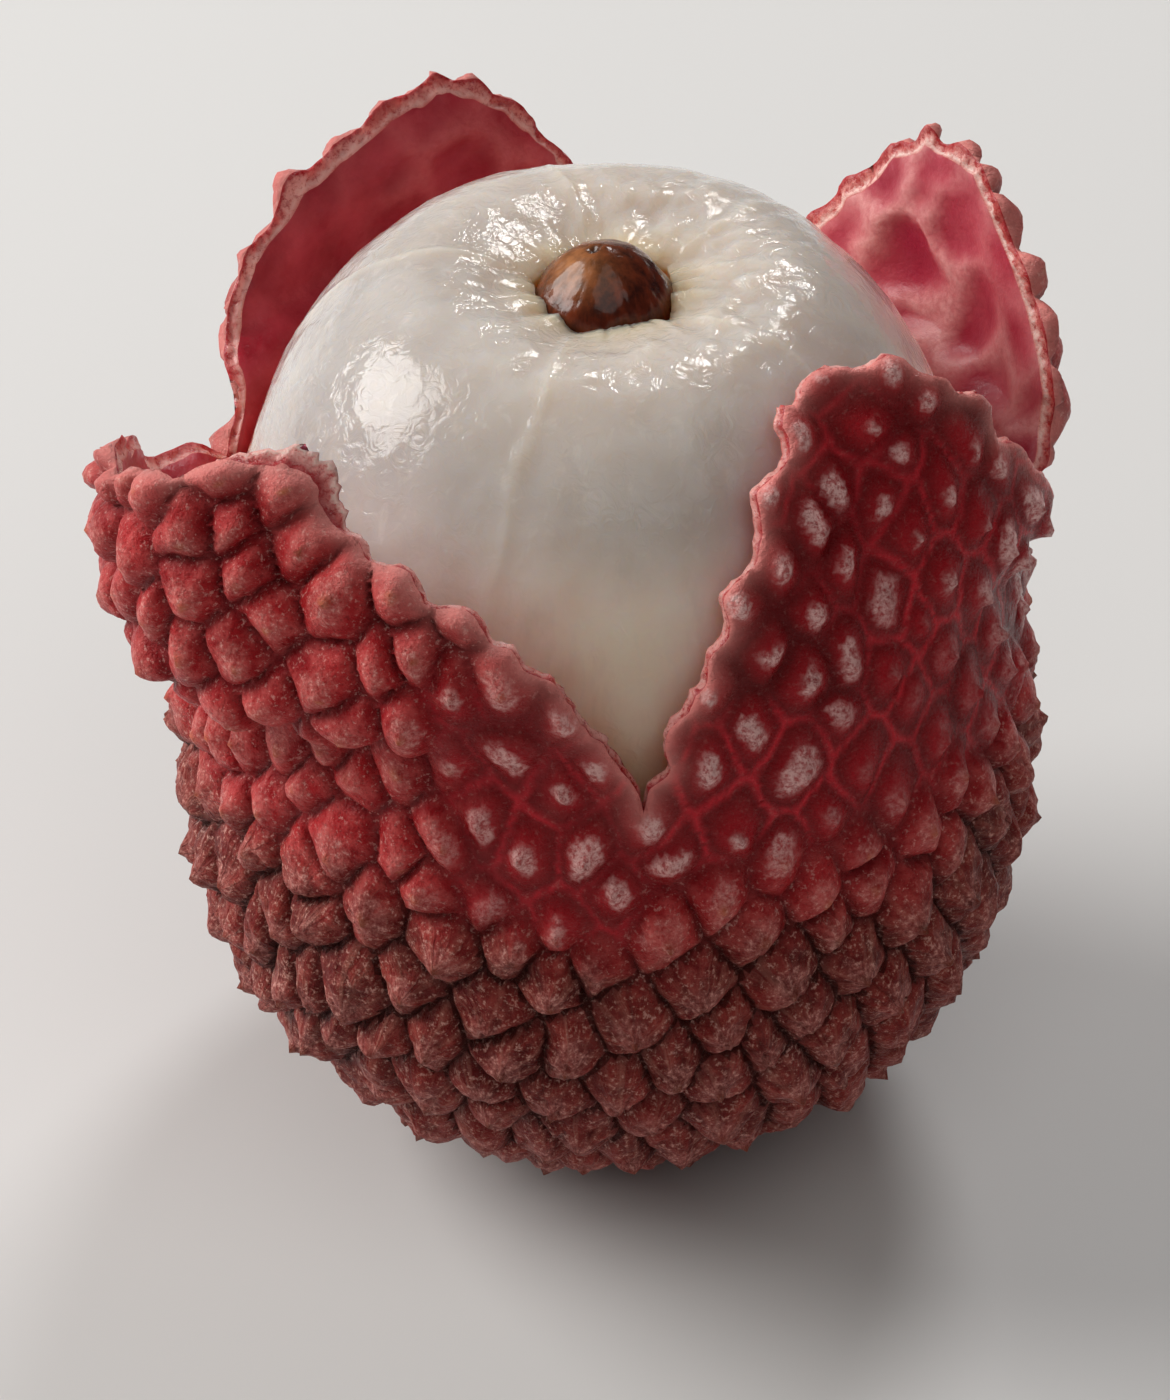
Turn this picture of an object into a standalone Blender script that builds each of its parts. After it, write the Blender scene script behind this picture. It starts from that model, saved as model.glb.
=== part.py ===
"""A ripe lychee, opened at its stalk end: a bumpy rind torn into four flaps, the flesh that it holds and the seed.

Blender script, in metres, +Z up. The origin is on the fruit's axis, at the level where its lowest bumps are flat.
An azimuth is counter-clockwise from +X seen from above, and -Y (270 degrees) is the front. A climb is a distance
along the skin of the closed fruit up from its widest ring. The lists below give them in degrees and millimetres.
"""

import math

import bmesh
import bpy
import numpy as np
from mathutils import Vector
from mathutils.geometry import delaunay_2d_cdt

MM = 0.001
GOLDEN_ANGLE = math.pi * (3 - math.sqrt(5))
HEXAGON_AREA = math.sqrt(3) / 2
RANDOM_SEED = 11
SMOOTH_ANGLE = 38.0
MERIDIAN_STEPS = 1600
NORMAL_STEP = 0.05 * MM
MERGE_DISTANCE = 1e-9

# The closed rind at the foot of its bumps: half an ellipse below its widest ring, a blunter one above
RIND_RADIUS = 17.1 * MM
FOOT_HEIGHT = 0.25 * MM
WIDEST_HEIGHT = 16.8 * MM
CLOSED_HEIGHT = 44.1 * MM
UPPER_POWER = 2.65

# The rind's wall and its bumps: their width at climbs in millimetres, and how much taller than wide they are
RIND_THICKNESS = 0.9 * MM
BUMP_WIDTHS = [(0, 2.65), (12, 2.4), (24, 2.05)]
BUMP_STRETCH = 1.3
BUMP_HEIGHT = 1.0 * MM
BUMP_HEIGHT_SPREAD = 0.2
BUMP_JITTER = 0.22
BUMP_REACH = 1.6 * MM
SPIRAL_START = 2.2
SHOULDER_SHARE = 0.5
SHOULDER_HEIGHT = 0.68
INNER_SPACING = 4.0 * MM
TEAR_STEP = 1.2 * MM
TEAR_RAGGEDNESS = 0.2 * MM
TEAR_SCALLOP = 0.8 * MM
SCALLOP_MIDDLE = 0.5
SCALLOP_REACH = 3.0 * MM
TEAR_CLEARANCE = 0.55 * MM
INNER_CLEARANCE = 1.5 * MM

# The lower ends of the four splits as (azimuth, climb), and the line that the flaps fold at
SPLIT_FRONT = (275, 10.4)
SPLIT_RIGHT = (364, 12.3)
SPLIT_BACK = (436, 11.3)
SPLIT_LEFT = (521, 10.8)
FOLD_LINE = [(275, 10.4), (340, 10.5), (364, 9.8), (400, 10.5), (436, 11.3), (521, 10.8), (545, 8.3), (575, 8.1),
             (600, 9.3), (635, 10.4)]

# Each flap: its torn edge as (azimuth, climb), its turn outwards in degrees as (azimuth, turn near the fold, turn
# at the tear), and the azimuth that it narrows towards
FLAPS = {
    "right": {
        "from": SPLIT_FRONT,
        "to": SPLIT_RIGHT,
        "tear": [(277.5, 12.6), (280.5, 14.8), (290, 19.2), (298, 22.3), (309, 25.3), (321, 26), (333, 25.2),
                 (341, 22.5), (347, 19), (357, 15.3)],
        "turns": [(275, 0, 0), (315, 0, 0), (340, 12, 12), (364, 26, 20)],
        "towards": 330,
    },
    "back_right": {
        "from": SPLIT_RIGHT,
        "to": SPLIT_BACK,
        "tear": [(366, 14.8), (370, 17.3), (376, 19), (386, 21.4), (396, 23.2), (405, 23.6), (416, 22.8),
                 (423, 21.1), (429, 16.8)],
        "turns": [(364, 26, 17), (380, 29, 18), (400, 28, 25), (436, 28, 28)],
        "towards": 372,
    },
    "back_left": {
        "from": SPLIT_BACK,
        "to": SPLIT_LEFT,
        "tear": [(443, 14.3), (447, 16.8), (452, 19.5), (460, 21.6), (470, 22.4), (481, 21.6), (490, 20.4),
                 (499, 19.6), (509.5, 17.6), (516, 14.8)],
        "turns": [(436, 30, 30), (521, 30, 30)],
        "towards": 480,
    },
    "left": {
        "from": SPLIT_LEFT,
        "to": (SPLIT_FRONT[0] + 360, SPLIT_FRONT[1]),
        "tear": [(527, 14), (532, 17.5), (548, 20.5), (572, 23.3), (584, 23.6), (593, 21.8), (601, 20.8), (615, 19.2),
                 (628, 16.5), (632, 14.3)],
        "turns": [(521, 30, 20), (555, 40, 30), (570, 38, 28), (590, 22, 12), (615, 13, 8), (635, 8, 6)],
        "towards": 579,
    },
}
FOLD_WIDTH = 4.0 * MM
CURL_WIDTH = 12.0 * MM

# The wall buckles where a flap folds: a crease along the fold and a belly above it, at their largest where a flap
# turns fully; the lining follows by a share of it
FULL_TURN = 40.0
CREASE_PLACE = 2.4 * MM
CREASE_REACH = 0.9 * MM
CREASE_DEPTH = 0.6 * MM
BELLY_PLACE = 4.9 * MM
BELLY_REACH = 1.7 * MM
BELLY_HEIGHT = 0.7 * MM
LINING_BUCKLE = 0.5

# The flesh: a smooth body inside the rind, with a dimple and an opening of five lobes at the top
FLESH_RADIUS = 15.7 * MM
FLESH_BOTTOM = 1.7 * MM
FLESH_TOP = 42.5 * MM
FLESH_UPPER_POWER = 2.7
DIMPLE_DEPTH = 3.5 * MM
DIMPLE_RADIUS = 5.2 * MM
NOTCH_AZIMUTHS = (38, 101, 164, 249, 324)
NOTCH_RADIUS = 3.25 * MM
LOBE_RADIUS = 2.9 * MM
FURROW_DEPTH = 0.3 * MM
FURROW_REACH = 7.0 * MM
FURROW_WIDTH = 11.0
RIM_LIP = 0.7 * MM
FLESH_COLUMNS = 45
FLESH_ROWS = 20

# The seed, upright in the flesh, with its blunt tip out of the opening
SEED_RADIUS = 6.7 * MM
SEED_BOTTOM = 18.5 * MM
SEED_WIDEST = 29.0 * MM
SEED_NECK_HEIGHT = 39.2 * MM
SEED_NECK_RADIUS = 2.5 * MM
SEED_TOP = 42.1 * MM
SEED_NECK_POWER = 1.2
SEED_TIP_POWERS = (1.7, 0.75)
SEED_GAP = 0.32 * MM
SEED_COLUMNS = 24
SEED_ROWS = 16


def clear_scene():
    for old in list(bpy.data.objects):
        bpy.data.objects.remove(old, do_unlink=True)


def plain_material(name, colour, roughness):
    """A Principled BSDF with the part's colour."""
    material = bpy.data.materials.new(name)
    material.use_nodes = True
    shader = material.node_tree.nodes["Principled BSDF"]
    shader.inputs["Base Color"].default_value = (*colour, 1)
    shader.inputs["Roughness"].default_value = roughness
    shader.inputs["Metallic"].default_value = 0
    material.diffuse_color = (*colour, 1)
    return material


def add_object(name, points, faces, material):
    """One mesh object from points and faces, with its normals outwards and its small facets shaded smooth."""
    mesh = bpy.data.meshes.new(name)
    mesh.from_pydata([tuple(p) for p in points], [], faces)
    work = bmesh.new()
    work.from_mesh(mesh)
    bmesh.ops.delete(work, geom=[v for v in work.verts if not v.link_faces], context="VERTS")
    bmesh.ops.recalc_face_normals(work, faces=work.faces)
    if work.calc_volume(signed=True) < 0:
        bmesh.ops.reverse_faces(work, faces=work.faces)
    work.to_mesh(mesh)
    work.free()
    mesh.materials.append(material)
    mesh.shade_smooth()
    mesh.set_sharp_from_angle(angle=math.radians(SMOOTH_ANGLE))
    made = bpy.data.objects.new(name, mesh)
    bpy.context.scene.collection.objects.link(made)
    return made


def closed_meridian():
    """Climb, radius and height along the closed rind, from its bottom pole to its top one."""
    angle = np.linspace(-math.pi / 2, math.pi / 2, MERIDIAN_STEPS)
    upper = angle > 0
    share = np.where(upper, 2 / UPPER_POWER, 1.0)
    radius = RIND_RADIUS * np.abs(np.cos(angle)) ** share
    rise = np.where(upper, CLOSED_HEIGHT - WIDEST_HEIGHT, WIDEST_HEIGHT - FOOT_HEIGHT)
    height = WIDEST_HEIGHT + rise * np.sign(angle) * np.abs(np.sin(angle)) ** share
    climb = np.concatenate([[0], np.cumsum(np.hypot(np.diff(radius), np.diff(height)))])
    return climb - np.interp(WIDEST_HEIGHT, height, climb), radius, height


CLIMB, RADIUS, HEIGHT = closed_meridian()


def smooth_step(t):
    t = np.clip(t, 0, 1)
    return t * t * (3 - 2 * t)


def fold_place(azimuth):
    """The azimuth in degrees counted from the front split, and the climb of the fold line there."""
    wrapped = (np.degrees(azimuth) - SPLIT_FRONT[0]) % 360 + SPLIT_FRONT[0]
    return wrapped, np.interp(wrapped, [a for a, _ in FOLD_LINE], [c for _, c in FOLD_LINE]) * MM


def flap_turns(wrapped):
    """At each azimuth, its flap's turn in degrees near the fold and at the tear, and where the flap narrows to."""
    near, far, towards = np.zeros((3, len(wrapped)))
    for flap in FLAPS.values():
        here = (wrapped >= flap["from"][0]) & (wrapped < flap["to"][0])
        turn_at = [a for a, _, _ in flap["turns"]]
        near = np.where(here, np.interp(wrapped, turn_at, [t for _, t, _ in flap["turns"]]), near)
        far = np.where(here, np.interp(wrapped, turn_at, [t for _, _, t in flap["turns"]]), far)
        towards = np.where(here, flap["towards"], towards)
    return near, far, towards


def buckle(azimuth, climb):
    """Offset of the wall where a flap folds: inwards along the crease and outwards above it."""
    wrapped, hinge = fold_place(azimuth)
    near, _, _ = flap_turns(wrapped)
    past = climb - hinge
    belly = BELLY_HEIGHT * np.exp(-(((past - BELLY_PLACE) / BELLY_REACH) ** 2))
    crease = CREASE_DEPTH * np.exp(-(((past - CREASE_PLACE) / CREASE_REACH) ** 2))
    return near / FULL_TURN * (belly - crease)


def skin_point(azimuth, climb):
    """Place of a point of the rind, at the foot of its bumps, with its flap folded out."""
    wrapped, hinge = fold_place(azimuth)
    radius, height = np.interp(climb, CLIMB, RADIUS), np.interp(climb, CLIMB, HEIGHT)
    hinge_radius, hinge_height = np.interp(hinge, CLIMB, RADIUS), np.interp(hinge, CLIMB, HEIGHT)
    near, far, towards = flap_turns(wrapped)
    folded = smooth_step((climb - hinge) / FOLD_WIDTH)
    curled = smooth_step((climb - hinge - FOLD_WIDTH) / CURL_WIDTH)
    turn = np.radians(near * folded + (far - near) * curled)
    out, up = radius - hinge_radius, height - hinge_height
    folded_radius = hinge_radius + out * np.cos(turn) + up * np.sin(turn)
    folded_height = hinge_height - out * np.sin(turn) + up * np.cos(turn)
    narrowing = np.where(turn > 0, radius / np.maximum(folded_radius, 1e-6), 1)
    folded_azimuth = np.radians(towards + (wrapped - towards) * narrowing)
    return np.stack(
        [folded_radius * np.cos(folded_azimuth), folded_radius * np.sin(folded_azimuth), folded_height], axis=-1
    )


def rind_point(azimuth, climb, above):
    """Place of a point of the rind at a height above the foot of its bumps; the table flattens what it rests on."""
    here = skin_point(azimuth, climb)
    below = skin_point(azimuth, np.maximum(climb - NORMAL_STEP, CLIMB[0]))
    along = skin_point(azimuth, climb + NORMAL_STEP) - below
    side_turn = NORMAL_STEP / np.maximum(np.interp(climb, CLIMB, RADIUS), NORMAL_STEP)
    around = skin_point(azimuth + side_turn, climb) - skin_point(azimuth - side_turn, climb)
    normal = np.cross(around, along)
    length = np.linalg.norm(normal, axis=-1, keepdims=True)
    at_pole = climb[..., None] < CLIMB[0] + NORMAL_STEP
    normal = np.where(at_pole, np.array([0, 0, -1.0]), normal / np.maximum(length, 1e-30))
    place = here + normal * above[..., None]
    place[..., 2] = np.maximum(place[..., 2], 0)
    return place


def plane_point(azimuth, climb):
    """The closed fruit spread on a plane, its bottom pole in the middle, with small shapes nearly kept."""
    radius = np.interp(climb, CLIMB, RADIUS)
    height = np.interp(climb, CLIMB, HEIGHT)
    from_bottom = np.arctan2(radius, (FOOT_HEIGHT + CLOSED_HEIGHT) / 2 - height)
    spread = np.tan(from_bottom / 2)
    return np.stack([spread * np.cos(azimuth), spread * np.sin(azimuth)], axis=-1)


SPREAD = np.hypot(*plane_point(np.zeros_like(CLIMB), CLIMB).T)


def closed_point(azimuth, climb):
    radius = np.interp(climb, CLIMB, RADIUS)
    return np.stack([radius * np.cos(azimuth), radius * np.sin(azimuth), np.interp(climb, CLIMB, HEIGHT)], axis=-1)


def spiral_lattice(widths, stretch, jitter):
    """Azimuths and climbs of spread out points, one at the bottom pole and the others along a spiral. Each has a cell
    as wide as widths says, which holds for the places of CLIMB, and stretch times as tall."""
    rings = (RADIUS[1:] + RADIUS[:-1]) / 2 * np.diff(CLIMB) * 2 * math.pi
    cells = HEXAGON_AREA * widths[1:] ** 2 * stretch
    below = np.concatenate([[0], np.cumsum(rings / cells)])
    number = np.arange(int(below[-1]))
    climb = np.interp(number + SPIRAL_START, below, CLIMB)
    azimuth = number * GOLDEN_ANGLE
    width = np.interp(climb, CLIMB, widths)
    draw = np.random.default_rng(RANDOM_SEED)
    climb = climb + draw.uniform(-jitter, jitter, len(number)) * width * stretch
    azimuth = azimuth + draw.uniform(-jitter, jitter, len(number)) * width / np.interp(climb, CLIMB, RADIUS)
    return np.concatenate([[0.0], azimuth]), np.concatenate([[CLIMB[0]], np.clip(climb, CLIMB[0], CLIMB[-1])])


def bump_centres():
    """Azimuths and climbs of the bumps' centres."""
    widths = np.interp(CLIMB / MM, [climb for climb, _ in BUMP_WIDTHS], [width for _, width in BUMP_WIDTHS]) * MM
    return spiral_lattice(widths, BUMP_STRETCH, BUMP_JITTER)


def tear_outline():
    """Azimuths and climbs of the rind's torn edge, once round, with a seeded raggedness."""
    corners = []
    for flap in FLAPS.values():
        corners += [flap["from"], *flap["tear"]]
    corners.append((corners[0][0] + 360, corners[0][1]))
    at = np.radians([a for a, _ in corners])
    climb = np.array([c for _, c in corners]) * MM
    draw = np.random.default_rng(RANDOM_SEED)
    azimuths, climbs = [], []
    splits = {flap["from"][0] for flap in FLAPS.values()}
    for i in range(len(corners) - 1):
        ends = closed_point(at[i : i + 2], climb[i : i + 2])
        steps = max(1, round(float(np.linalg.norm(ends[1] - ends[0])) / TEAR_STEP))
        for k in range(steps):
            ragged = 0 if k == 0 and corners[i][0] in splits else TEAR_RAGGEDNESS
            there_climb = climb[i] + (climb[i + 1] - climb[i]) * k / steps
            there_azimuth = at[i] + (at[i + 1] - at[i]) * k / steps
            climbs.append(there_climb + ragged * draw.uniform(-1, 1))
            azimuths.append(there_azimuth + ragged * draw.uniform(-1, 1) / np.interp(there_climb, CLIMB, RADIUS))
    return np.array(azimuths), np.array(climbs)


def nearest_distance(places, others):
    """Distance of each place from the nearest of the others."""
    return np.array([np.linalg.norm(others - place, axis=1).min() for place in places])


def tear_distance(azimuth, climb, tear):
    """Distance of points of the closed skin from the torn edge."""
    ends = closed_point(*tear)
    edge = np.concatenate([ends, (ends + np.roll(ends, -1, axis=0)) / 2])
    return nearest_distance(closed_point(azimuth, climb), edge)


def inside_tear(flat, tear_flat):
    """Which points of the plane lie on the rind's side of the torn edge."""
    inside = np.zeros(len(flat), bool)
    for (ax, ay), (bx, by) in zip(tear_flat, np.roll(tear_flat, -1, axis=0)):
        spans = (flat[:, 1] < ay) != (flat[:, 1] < by)
        height = np.where(spans, by - ay, 1)
        inside ^= spans & (flat[:, 0] < ax + (flat[:, 1] - ay) * (bx - ax) / height)
    return inside


def triangulate(flat, tear_count, lines):
    """Triangles inside the torn edge, whose points come first, with the given lines as edges of triangles."""
    edges = [(i, (i + 1) % tear_count) for i in range(tear_count)] + lines
    _, _, faces, kept, _, _ = delaunay_2d_cdt([Vector(p) for p in flat], edges, [], 1, MERGE_DISTANCE)
    if not all(kept):
        raise ValueError("the torn edge crosses itself")
    return [[kept[corner][0] for corner in face] for face in faces]


def squashed(flat):
    """Points of the plane with its radii pulled together, so that cells taller than wide become as tall as wide."""
    radius = np.maximum(np.hypot(flat[:, 0], flat[:, 1]), MERGE_DISTANCE)
    return flat * (radius ** (1 / BUMP_STRETCH - 1))[:, None]


def bump_lattice():
    """Points of the bumps on the plane, their heights, the groove lines as pairs of points, and the tips' places."""
    azimuth, climb = bump_centres()
    flat = plane_point(azimuth, climb)
    _, _, faces, kept, _, _ = delaunay_2d_cdt([Vector(p) for p in squashed(flat)], [], [], 0, MERGE_DISTANCE)
    threes = np.array([[kept[corner][0] for corner in face] for face in faces])
    meets = flat[threes].mean(axis=1)
    draw = np.random.default_rng(RANDOM_SEED)
    tips = BUMP_HEIGHT * (1 + BUMP_HEIGHT_SPREAD * draw.uniform(-1, 1, len(climb)))
    owners = threes.ravel()
    shoulders = flat[owners] + (np.repeat(meets, 3, axis=0) - flat[owners]) * SHOULDER_SHARE
    points = np.concatenate([meets, flat, shoulders])
    above = np.concatenate([np.zeros(len(meets)), tips, tips[owners] * SHOULDER_HEIGHT])
    beside = {}
    for number, face in enumerate(threes):
        for k in range(3):
            beside.setdefault(frozenset((face[k], face[(k + 1) % 3])), []).append(number)
    lines = [tuple(pair) for pair in beside.values() if len(pair) == 2]
    return points, above, lines, closed_point(azimuth, climb)


def skin_place(flat):
    """Azimuth and climb of points of the plane: plane_point the other way round."""
    return np.arctan2(flat[:, 1], flat[:, 0]), np.interp(np.hypot(flat[:, 0], flat[:, 1]), SPREAD, CLIMB)


def scalloped(tear):
    """The torn edge led round the bumps that it meets: out past their tips and in at the grooves between them."""
    flat = plane_point(*tear)
    along = np.roll(flat, -1, axis=0) - np.roll(flat, 1, axis=0)
    outwards = np.stack([along[:, 1], -along[:, 0]], axis=1) / np.linalg.norm(along, axis=1, keepdims=True)
    places = closed_point(*tear)
    from_tip = nearest_distance(places, closed_point(*bump_centres()))
    split_azimuths, split_climbs = np.array([flap["from"] for flap in FLAPS.values()]).T
    from_split = nearest_distance(places, closed_point(np.radians(split_azimuths), split_climbs * MM))
    push = TEAR_SCALLOP * (SCALLOP_MIDDLE - from_tip / BUMP_REACH) * smooth_step(from_split / SCALLOP_REACH)
    scale = np.interp(np.hypot(flat[:, 0], flat[:, 1]), SPREAD, np.gradient(SPREAD) / np.gradient(CLIMB))
    return skin_place(flat + outwards * (push * scale)[:, None])


def outer_skin(tear):
    """Points and triangles of the rind's outside: torn edge first, then grooves, tips and shoulders of its bumps."""
    count = len(tear[0])
    tear_flat = plane_point(*tear)
    flat, above, lines, tips = bump_lattice()
    clear = inside_tear(flat, tear_flat) & (tear_distance(*skin_place(flat), tear) > TEAR_CLEARANCE)
    middles = np.array([(flat[a] + flat[b]) / 2 for a, b in lines])
    open_middles = tear_distance(*skin_place(middles), tear) > TEAR_CLEARANCE
    new_number = np.cumsum(clear) - 1 + count
    kept_lines = [
        (int(new_number[a]), int(new_number[b]))
        for (a, b), is_open in zip(lines, open_middles)
        if is_open and clear[a] and clear[b]
    ]
    from_tip = nearest_distance(closed_point(*tear), tips)
    edge_above = BUMP_HEIGHT * SHOULDER_HEIGHT * np.clip(1 - from_tip / BUMP_REACH, 0, 1)
    faces = triangulate(np.concatenate([tear_flat, flat[clear]]), count, kept_lines)
    azimuth, climb = skin_place(flat[clear])
    azimuth, climb = np.concatenate([tear[0], azimuth]), np.concatenate([tear[1], climb])
    above = np.concatenate([edge_above, above[clear]]) + buckle(azimuth, climb)
    return rind_point(azimuth, climb, above), faces


def inner_skin(tear):
    """Points and triangles of the rind's smooth lining, its torn edge first."""
    azimuth, climb = spiral_lattice(np.full_like(CLIMB, INNER_SPACING), 1, 0)
    clear = inside_tear(plane_point(azimuth, climb), plane_point(*tear))
    clear &= tear_distance(azimuth, climb, tear) > INNER_CLEARANCE
    azimuth, climb = np.concatenate([tear[0], azimuth[clear]]), np.concatenate([tear[1], climb[clear]])
    faces = triangulate(plane_point(azimuth, climb), len(tear[0]), [])
    return rind_point(azimuth, climb, LINING_BUCKLE * buckle(azimuth, climb) - RIND_THICKNESS), faces


def build_rind(material):
    """The rind: its bumps outside, a smooth lining inside, and the torn edge between them."""
    tear = scalloped(tear_outline())
    count = len(tear[0])
    points, outside = outer_skin(tear)
    inner_points, inside = inner_skin(tear)
    first = len(points)
    faces = [face[::-1] for face in outside] + [[first + corner for corner in face] for face in inside]
    for i in range(count):
        after = (i + 1) % count
        faces.append([i, after, first + after])
        faces.append([i, first + after, first + i])
    return add_object("rind", np.concatenate([points, inner_points]), faces, material)


def loft(rings, closed_bottom, closed_top):
    """Faces between rings of points, each ring with the same number, and fans to a point at either end."""
    columns = len(rings[0])
    points = [p for ring in rings for p in ring]
    faces = []
    for row in range(len(rings) - 1):
        for column in range(columns):
            after = (column + 1) % columns
            a, b = row * columns + column, row * columns + after
            faces.append([a, b, b + columns])
            faces.append([a, b + columns, a + columns])
    points += [closed_bottom, closed_top]
    low, high = len(points) - 2, len(points) - 1
    last = (len(rings) - 1) * columns
    for column in range(columns):
        after = (column + 1) % columns
        faces.append([low, after, column])
        faces.append([high, last + column, last + after])
    return points, faces


def lobe_bulge(azimuth):
    """0 at a notch of the flesh's opening and 1 in the middle of a lobe."""
    notches = np.array([*NOTCH_AZIMUTHS, NOTCH_AZIMUTHS[0] + 360])
    turned = (math.degrees(azimuth) - notches[0]) % 360 + notches[0]
    lobe = int(np.searchsorted(notches, turned, side="right")) - 1
    lobe = min(lobe, len(notches) - 2)
    across = (turned - notches[lobe]) / (notches[lobe + 1] - notches[lobe])
    return math.sin(math.pi * across)


def notch_distance(azimuth):
    """Degrees to the nearest notch of the opening."""
    return min(abs((math.degrees(azimuth) - notch + 180) % 360 - 180) for notch in NOTCH_AZIMUTHS)


def flesh_surface(share, azimuth):
    """A point of the flesh's outside, from its bottom pole (share 0) to the rim of its opening (share 1)."""
    rim = NOTCH_RADIUS + (LOBE_RADIUS - NOTCH_RADIUS) * lobe_bulge(azimuth)
    rim_angle = math.acos((rim / FLESH_RADIUS) ** (FLESH_UPPER_POWER / 2))
    angle = -math.pi / 2 + share * (math.pi / 2 + rim_angle)
    if angle <= 0:
        out = FLESH_RADIUS * math.cos(angle)
        up = WIDEST_HEIGHT + (WIDEST_HEIGHT - FLESH_BOTTOM) * math.sin(angle)
    else:
        out = FLESH_RADIUS * math.cos(angle) ** (2 / FLESH_UPPER_POWER)
        up = WIDEST_HEIGHT + (FLESH_TOP - WIDEST_HEIGHT) * math.sin(angle) ** (2 / FLESH_UPPER_POWER)
        up -= DIMPLE_DEPTH * math.exp(-((out / DIMPLE_RADIUS) ** 2))
        furrow = math.exp(-((notch_distance(azimuth) / FURROW_WIDTH) ** 2)) * math.exp(-out / FURROW_REACH)
        up -= FURROW_DEPTH * furrow
    return Vector((out * math.cos(azimuth), out * math.sin(azimuth), up))


def seed_radius(height):
    """The seed's radius at a height: an oval body that narrows to a blunt conical tip."""
    if height >= SEED_TOP or height <= SEED_BOTTOM:
        return 0.0
    if height < SEED_WIDEST:
        return SEED_RADIUS * math.sqrt(1 - ((SEED_WIDEST - height) / (SEED_WIDEST - SEED_BOTTOM)) ** 2)
    if height > SEED_NECK_HEIGHT:
        along = (height - SEED_NECK_HEIGHT) / (SEED_TOP - SEED_NECK_HEIGHT)
        return SEED_NECK_RADIUS * (1 - along ** SEED_TIP_POWERS[0]) ** SEED_TIP_POWERS[1]
    along = (height - SEED_WIDEST) / (SEED_NECK_HEIGHT - SEED_WIDEST)
    return SEED_NECK_RADIUS + (SEED_RADIUS - SEED_NECK_RADIUS) * math.cos(along * math.pi / 2) ** SEED_NECK_POWER


def seed_heights():
    """Heights of the seed's rings, closer together towards its ends."""
    shares = [(1 - math.cos(math.pi * row / SEED_ROWS)) / 2 for row in range(1, SEED_ROWS)]
    return [SEED_BOTTOM + (SEED_TOP - SEED_BOTTOM) * share for share in shares]


def round_ring(radius, height, columns):
    turns = [2 * math.pi * k / columns for k in range(columns)]
    return [Vector((radius * math.cos(turn), radius * math.sin(turn), height)) for turn in turns]


def build_flesh(material):
    """The flesh: a smooth body with a dimpled top, and the hollow that the seed fills."""
    turns = [2 * math.pi * k / FLESH_COLUMNS for k in range(FLESH_COLUMNS)]
    rings = [[flesh_surface(row / FLESH_ROWS, turn) for turn in turns] for row in range(1, FLESH_ROWS + 1)]
    lip = min(point.z for point in rings[-1]) - RIM_LIP
    for height in [lip] + [height for height in reversed(seed_heights()) if height < lip - RIM_LIP]:
        rings.append(round_ring(seed_radius(height) + SEED_GAP, height, FLESH_COLUMNS))
    points, faces = loft(rings, Vector((0, 0, FLESH_BOTTOM)), Vector((0, 0, SEED_BOTTOM - SEED_GAP)))
    return add_object("flesh", points, faces, material)


def build_seed(material):
    """The seed: one body turned about the fruit's axis."""
    rings = [round_ring(seed_radius(height), height, SEED_COLUMNS) for height in seed_heights()]
    points, faces = loft(rings, Vector((0, 0, SEED_BOTTOM)), Vector((0, 0, SEED_TOP)))
    return add_object("seed", points, faces, material)


def main():
    clear_scene()
    build_rind(plain_material("rind_red", (0.36, 0.06, 0.07), 0.6))
    build_flesh(plain_material("flesh_white", (0.86, 0.83, 0.79), 0.2))
    build_seed(plain_material("seed_brown", (0.13, 0.05, 0.025), 0.25))


main()
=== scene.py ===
"""A ripe lychee, opened at its stalk end, on a pale floor: its fine rind, flesh and seed over the CAD solids.

Metres, +Z up, in the frame of the CAD part. Azimuths run counter-clockwise from +X seen from above, in
degrees in the named values and in radians in the functions, and -Y (270 degrees) is the front. Climb is the
distance along the skin of the closed fruit up from its widest ring.
"""

import math

import bpy
import numpy as np
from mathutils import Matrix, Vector, kdtree, noise
from mathutils.geometry import delaunay_2d_cdt


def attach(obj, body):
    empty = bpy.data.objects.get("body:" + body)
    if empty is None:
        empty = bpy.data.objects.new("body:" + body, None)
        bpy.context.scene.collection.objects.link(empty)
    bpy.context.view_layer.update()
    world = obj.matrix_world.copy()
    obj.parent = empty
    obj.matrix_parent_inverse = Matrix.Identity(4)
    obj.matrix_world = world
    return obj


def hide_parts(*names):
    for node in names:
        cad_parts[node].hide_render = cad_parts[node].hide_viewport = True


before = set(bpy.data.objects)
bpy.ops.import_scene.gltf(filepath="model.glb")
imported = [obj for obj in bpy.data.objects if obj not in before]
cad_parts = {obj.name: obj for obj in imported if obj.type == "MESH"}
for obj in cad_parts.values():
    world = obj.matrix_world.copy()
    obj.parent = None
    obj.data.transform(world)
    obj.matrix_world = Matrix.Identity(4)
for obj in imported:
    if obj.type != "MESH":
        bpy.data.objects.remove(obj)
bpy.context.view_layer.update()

MM = 0.001
GOLDEN_ANGLE = math.pi * (3 - math.sqrt(5))
HEXAGON_AREA = math.sqrt(3) / 2
RANDOM_SEED = 11
MERIDIAN_STEPS = 1600
NORMAL_STEP = 0.05 * MM

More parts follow.
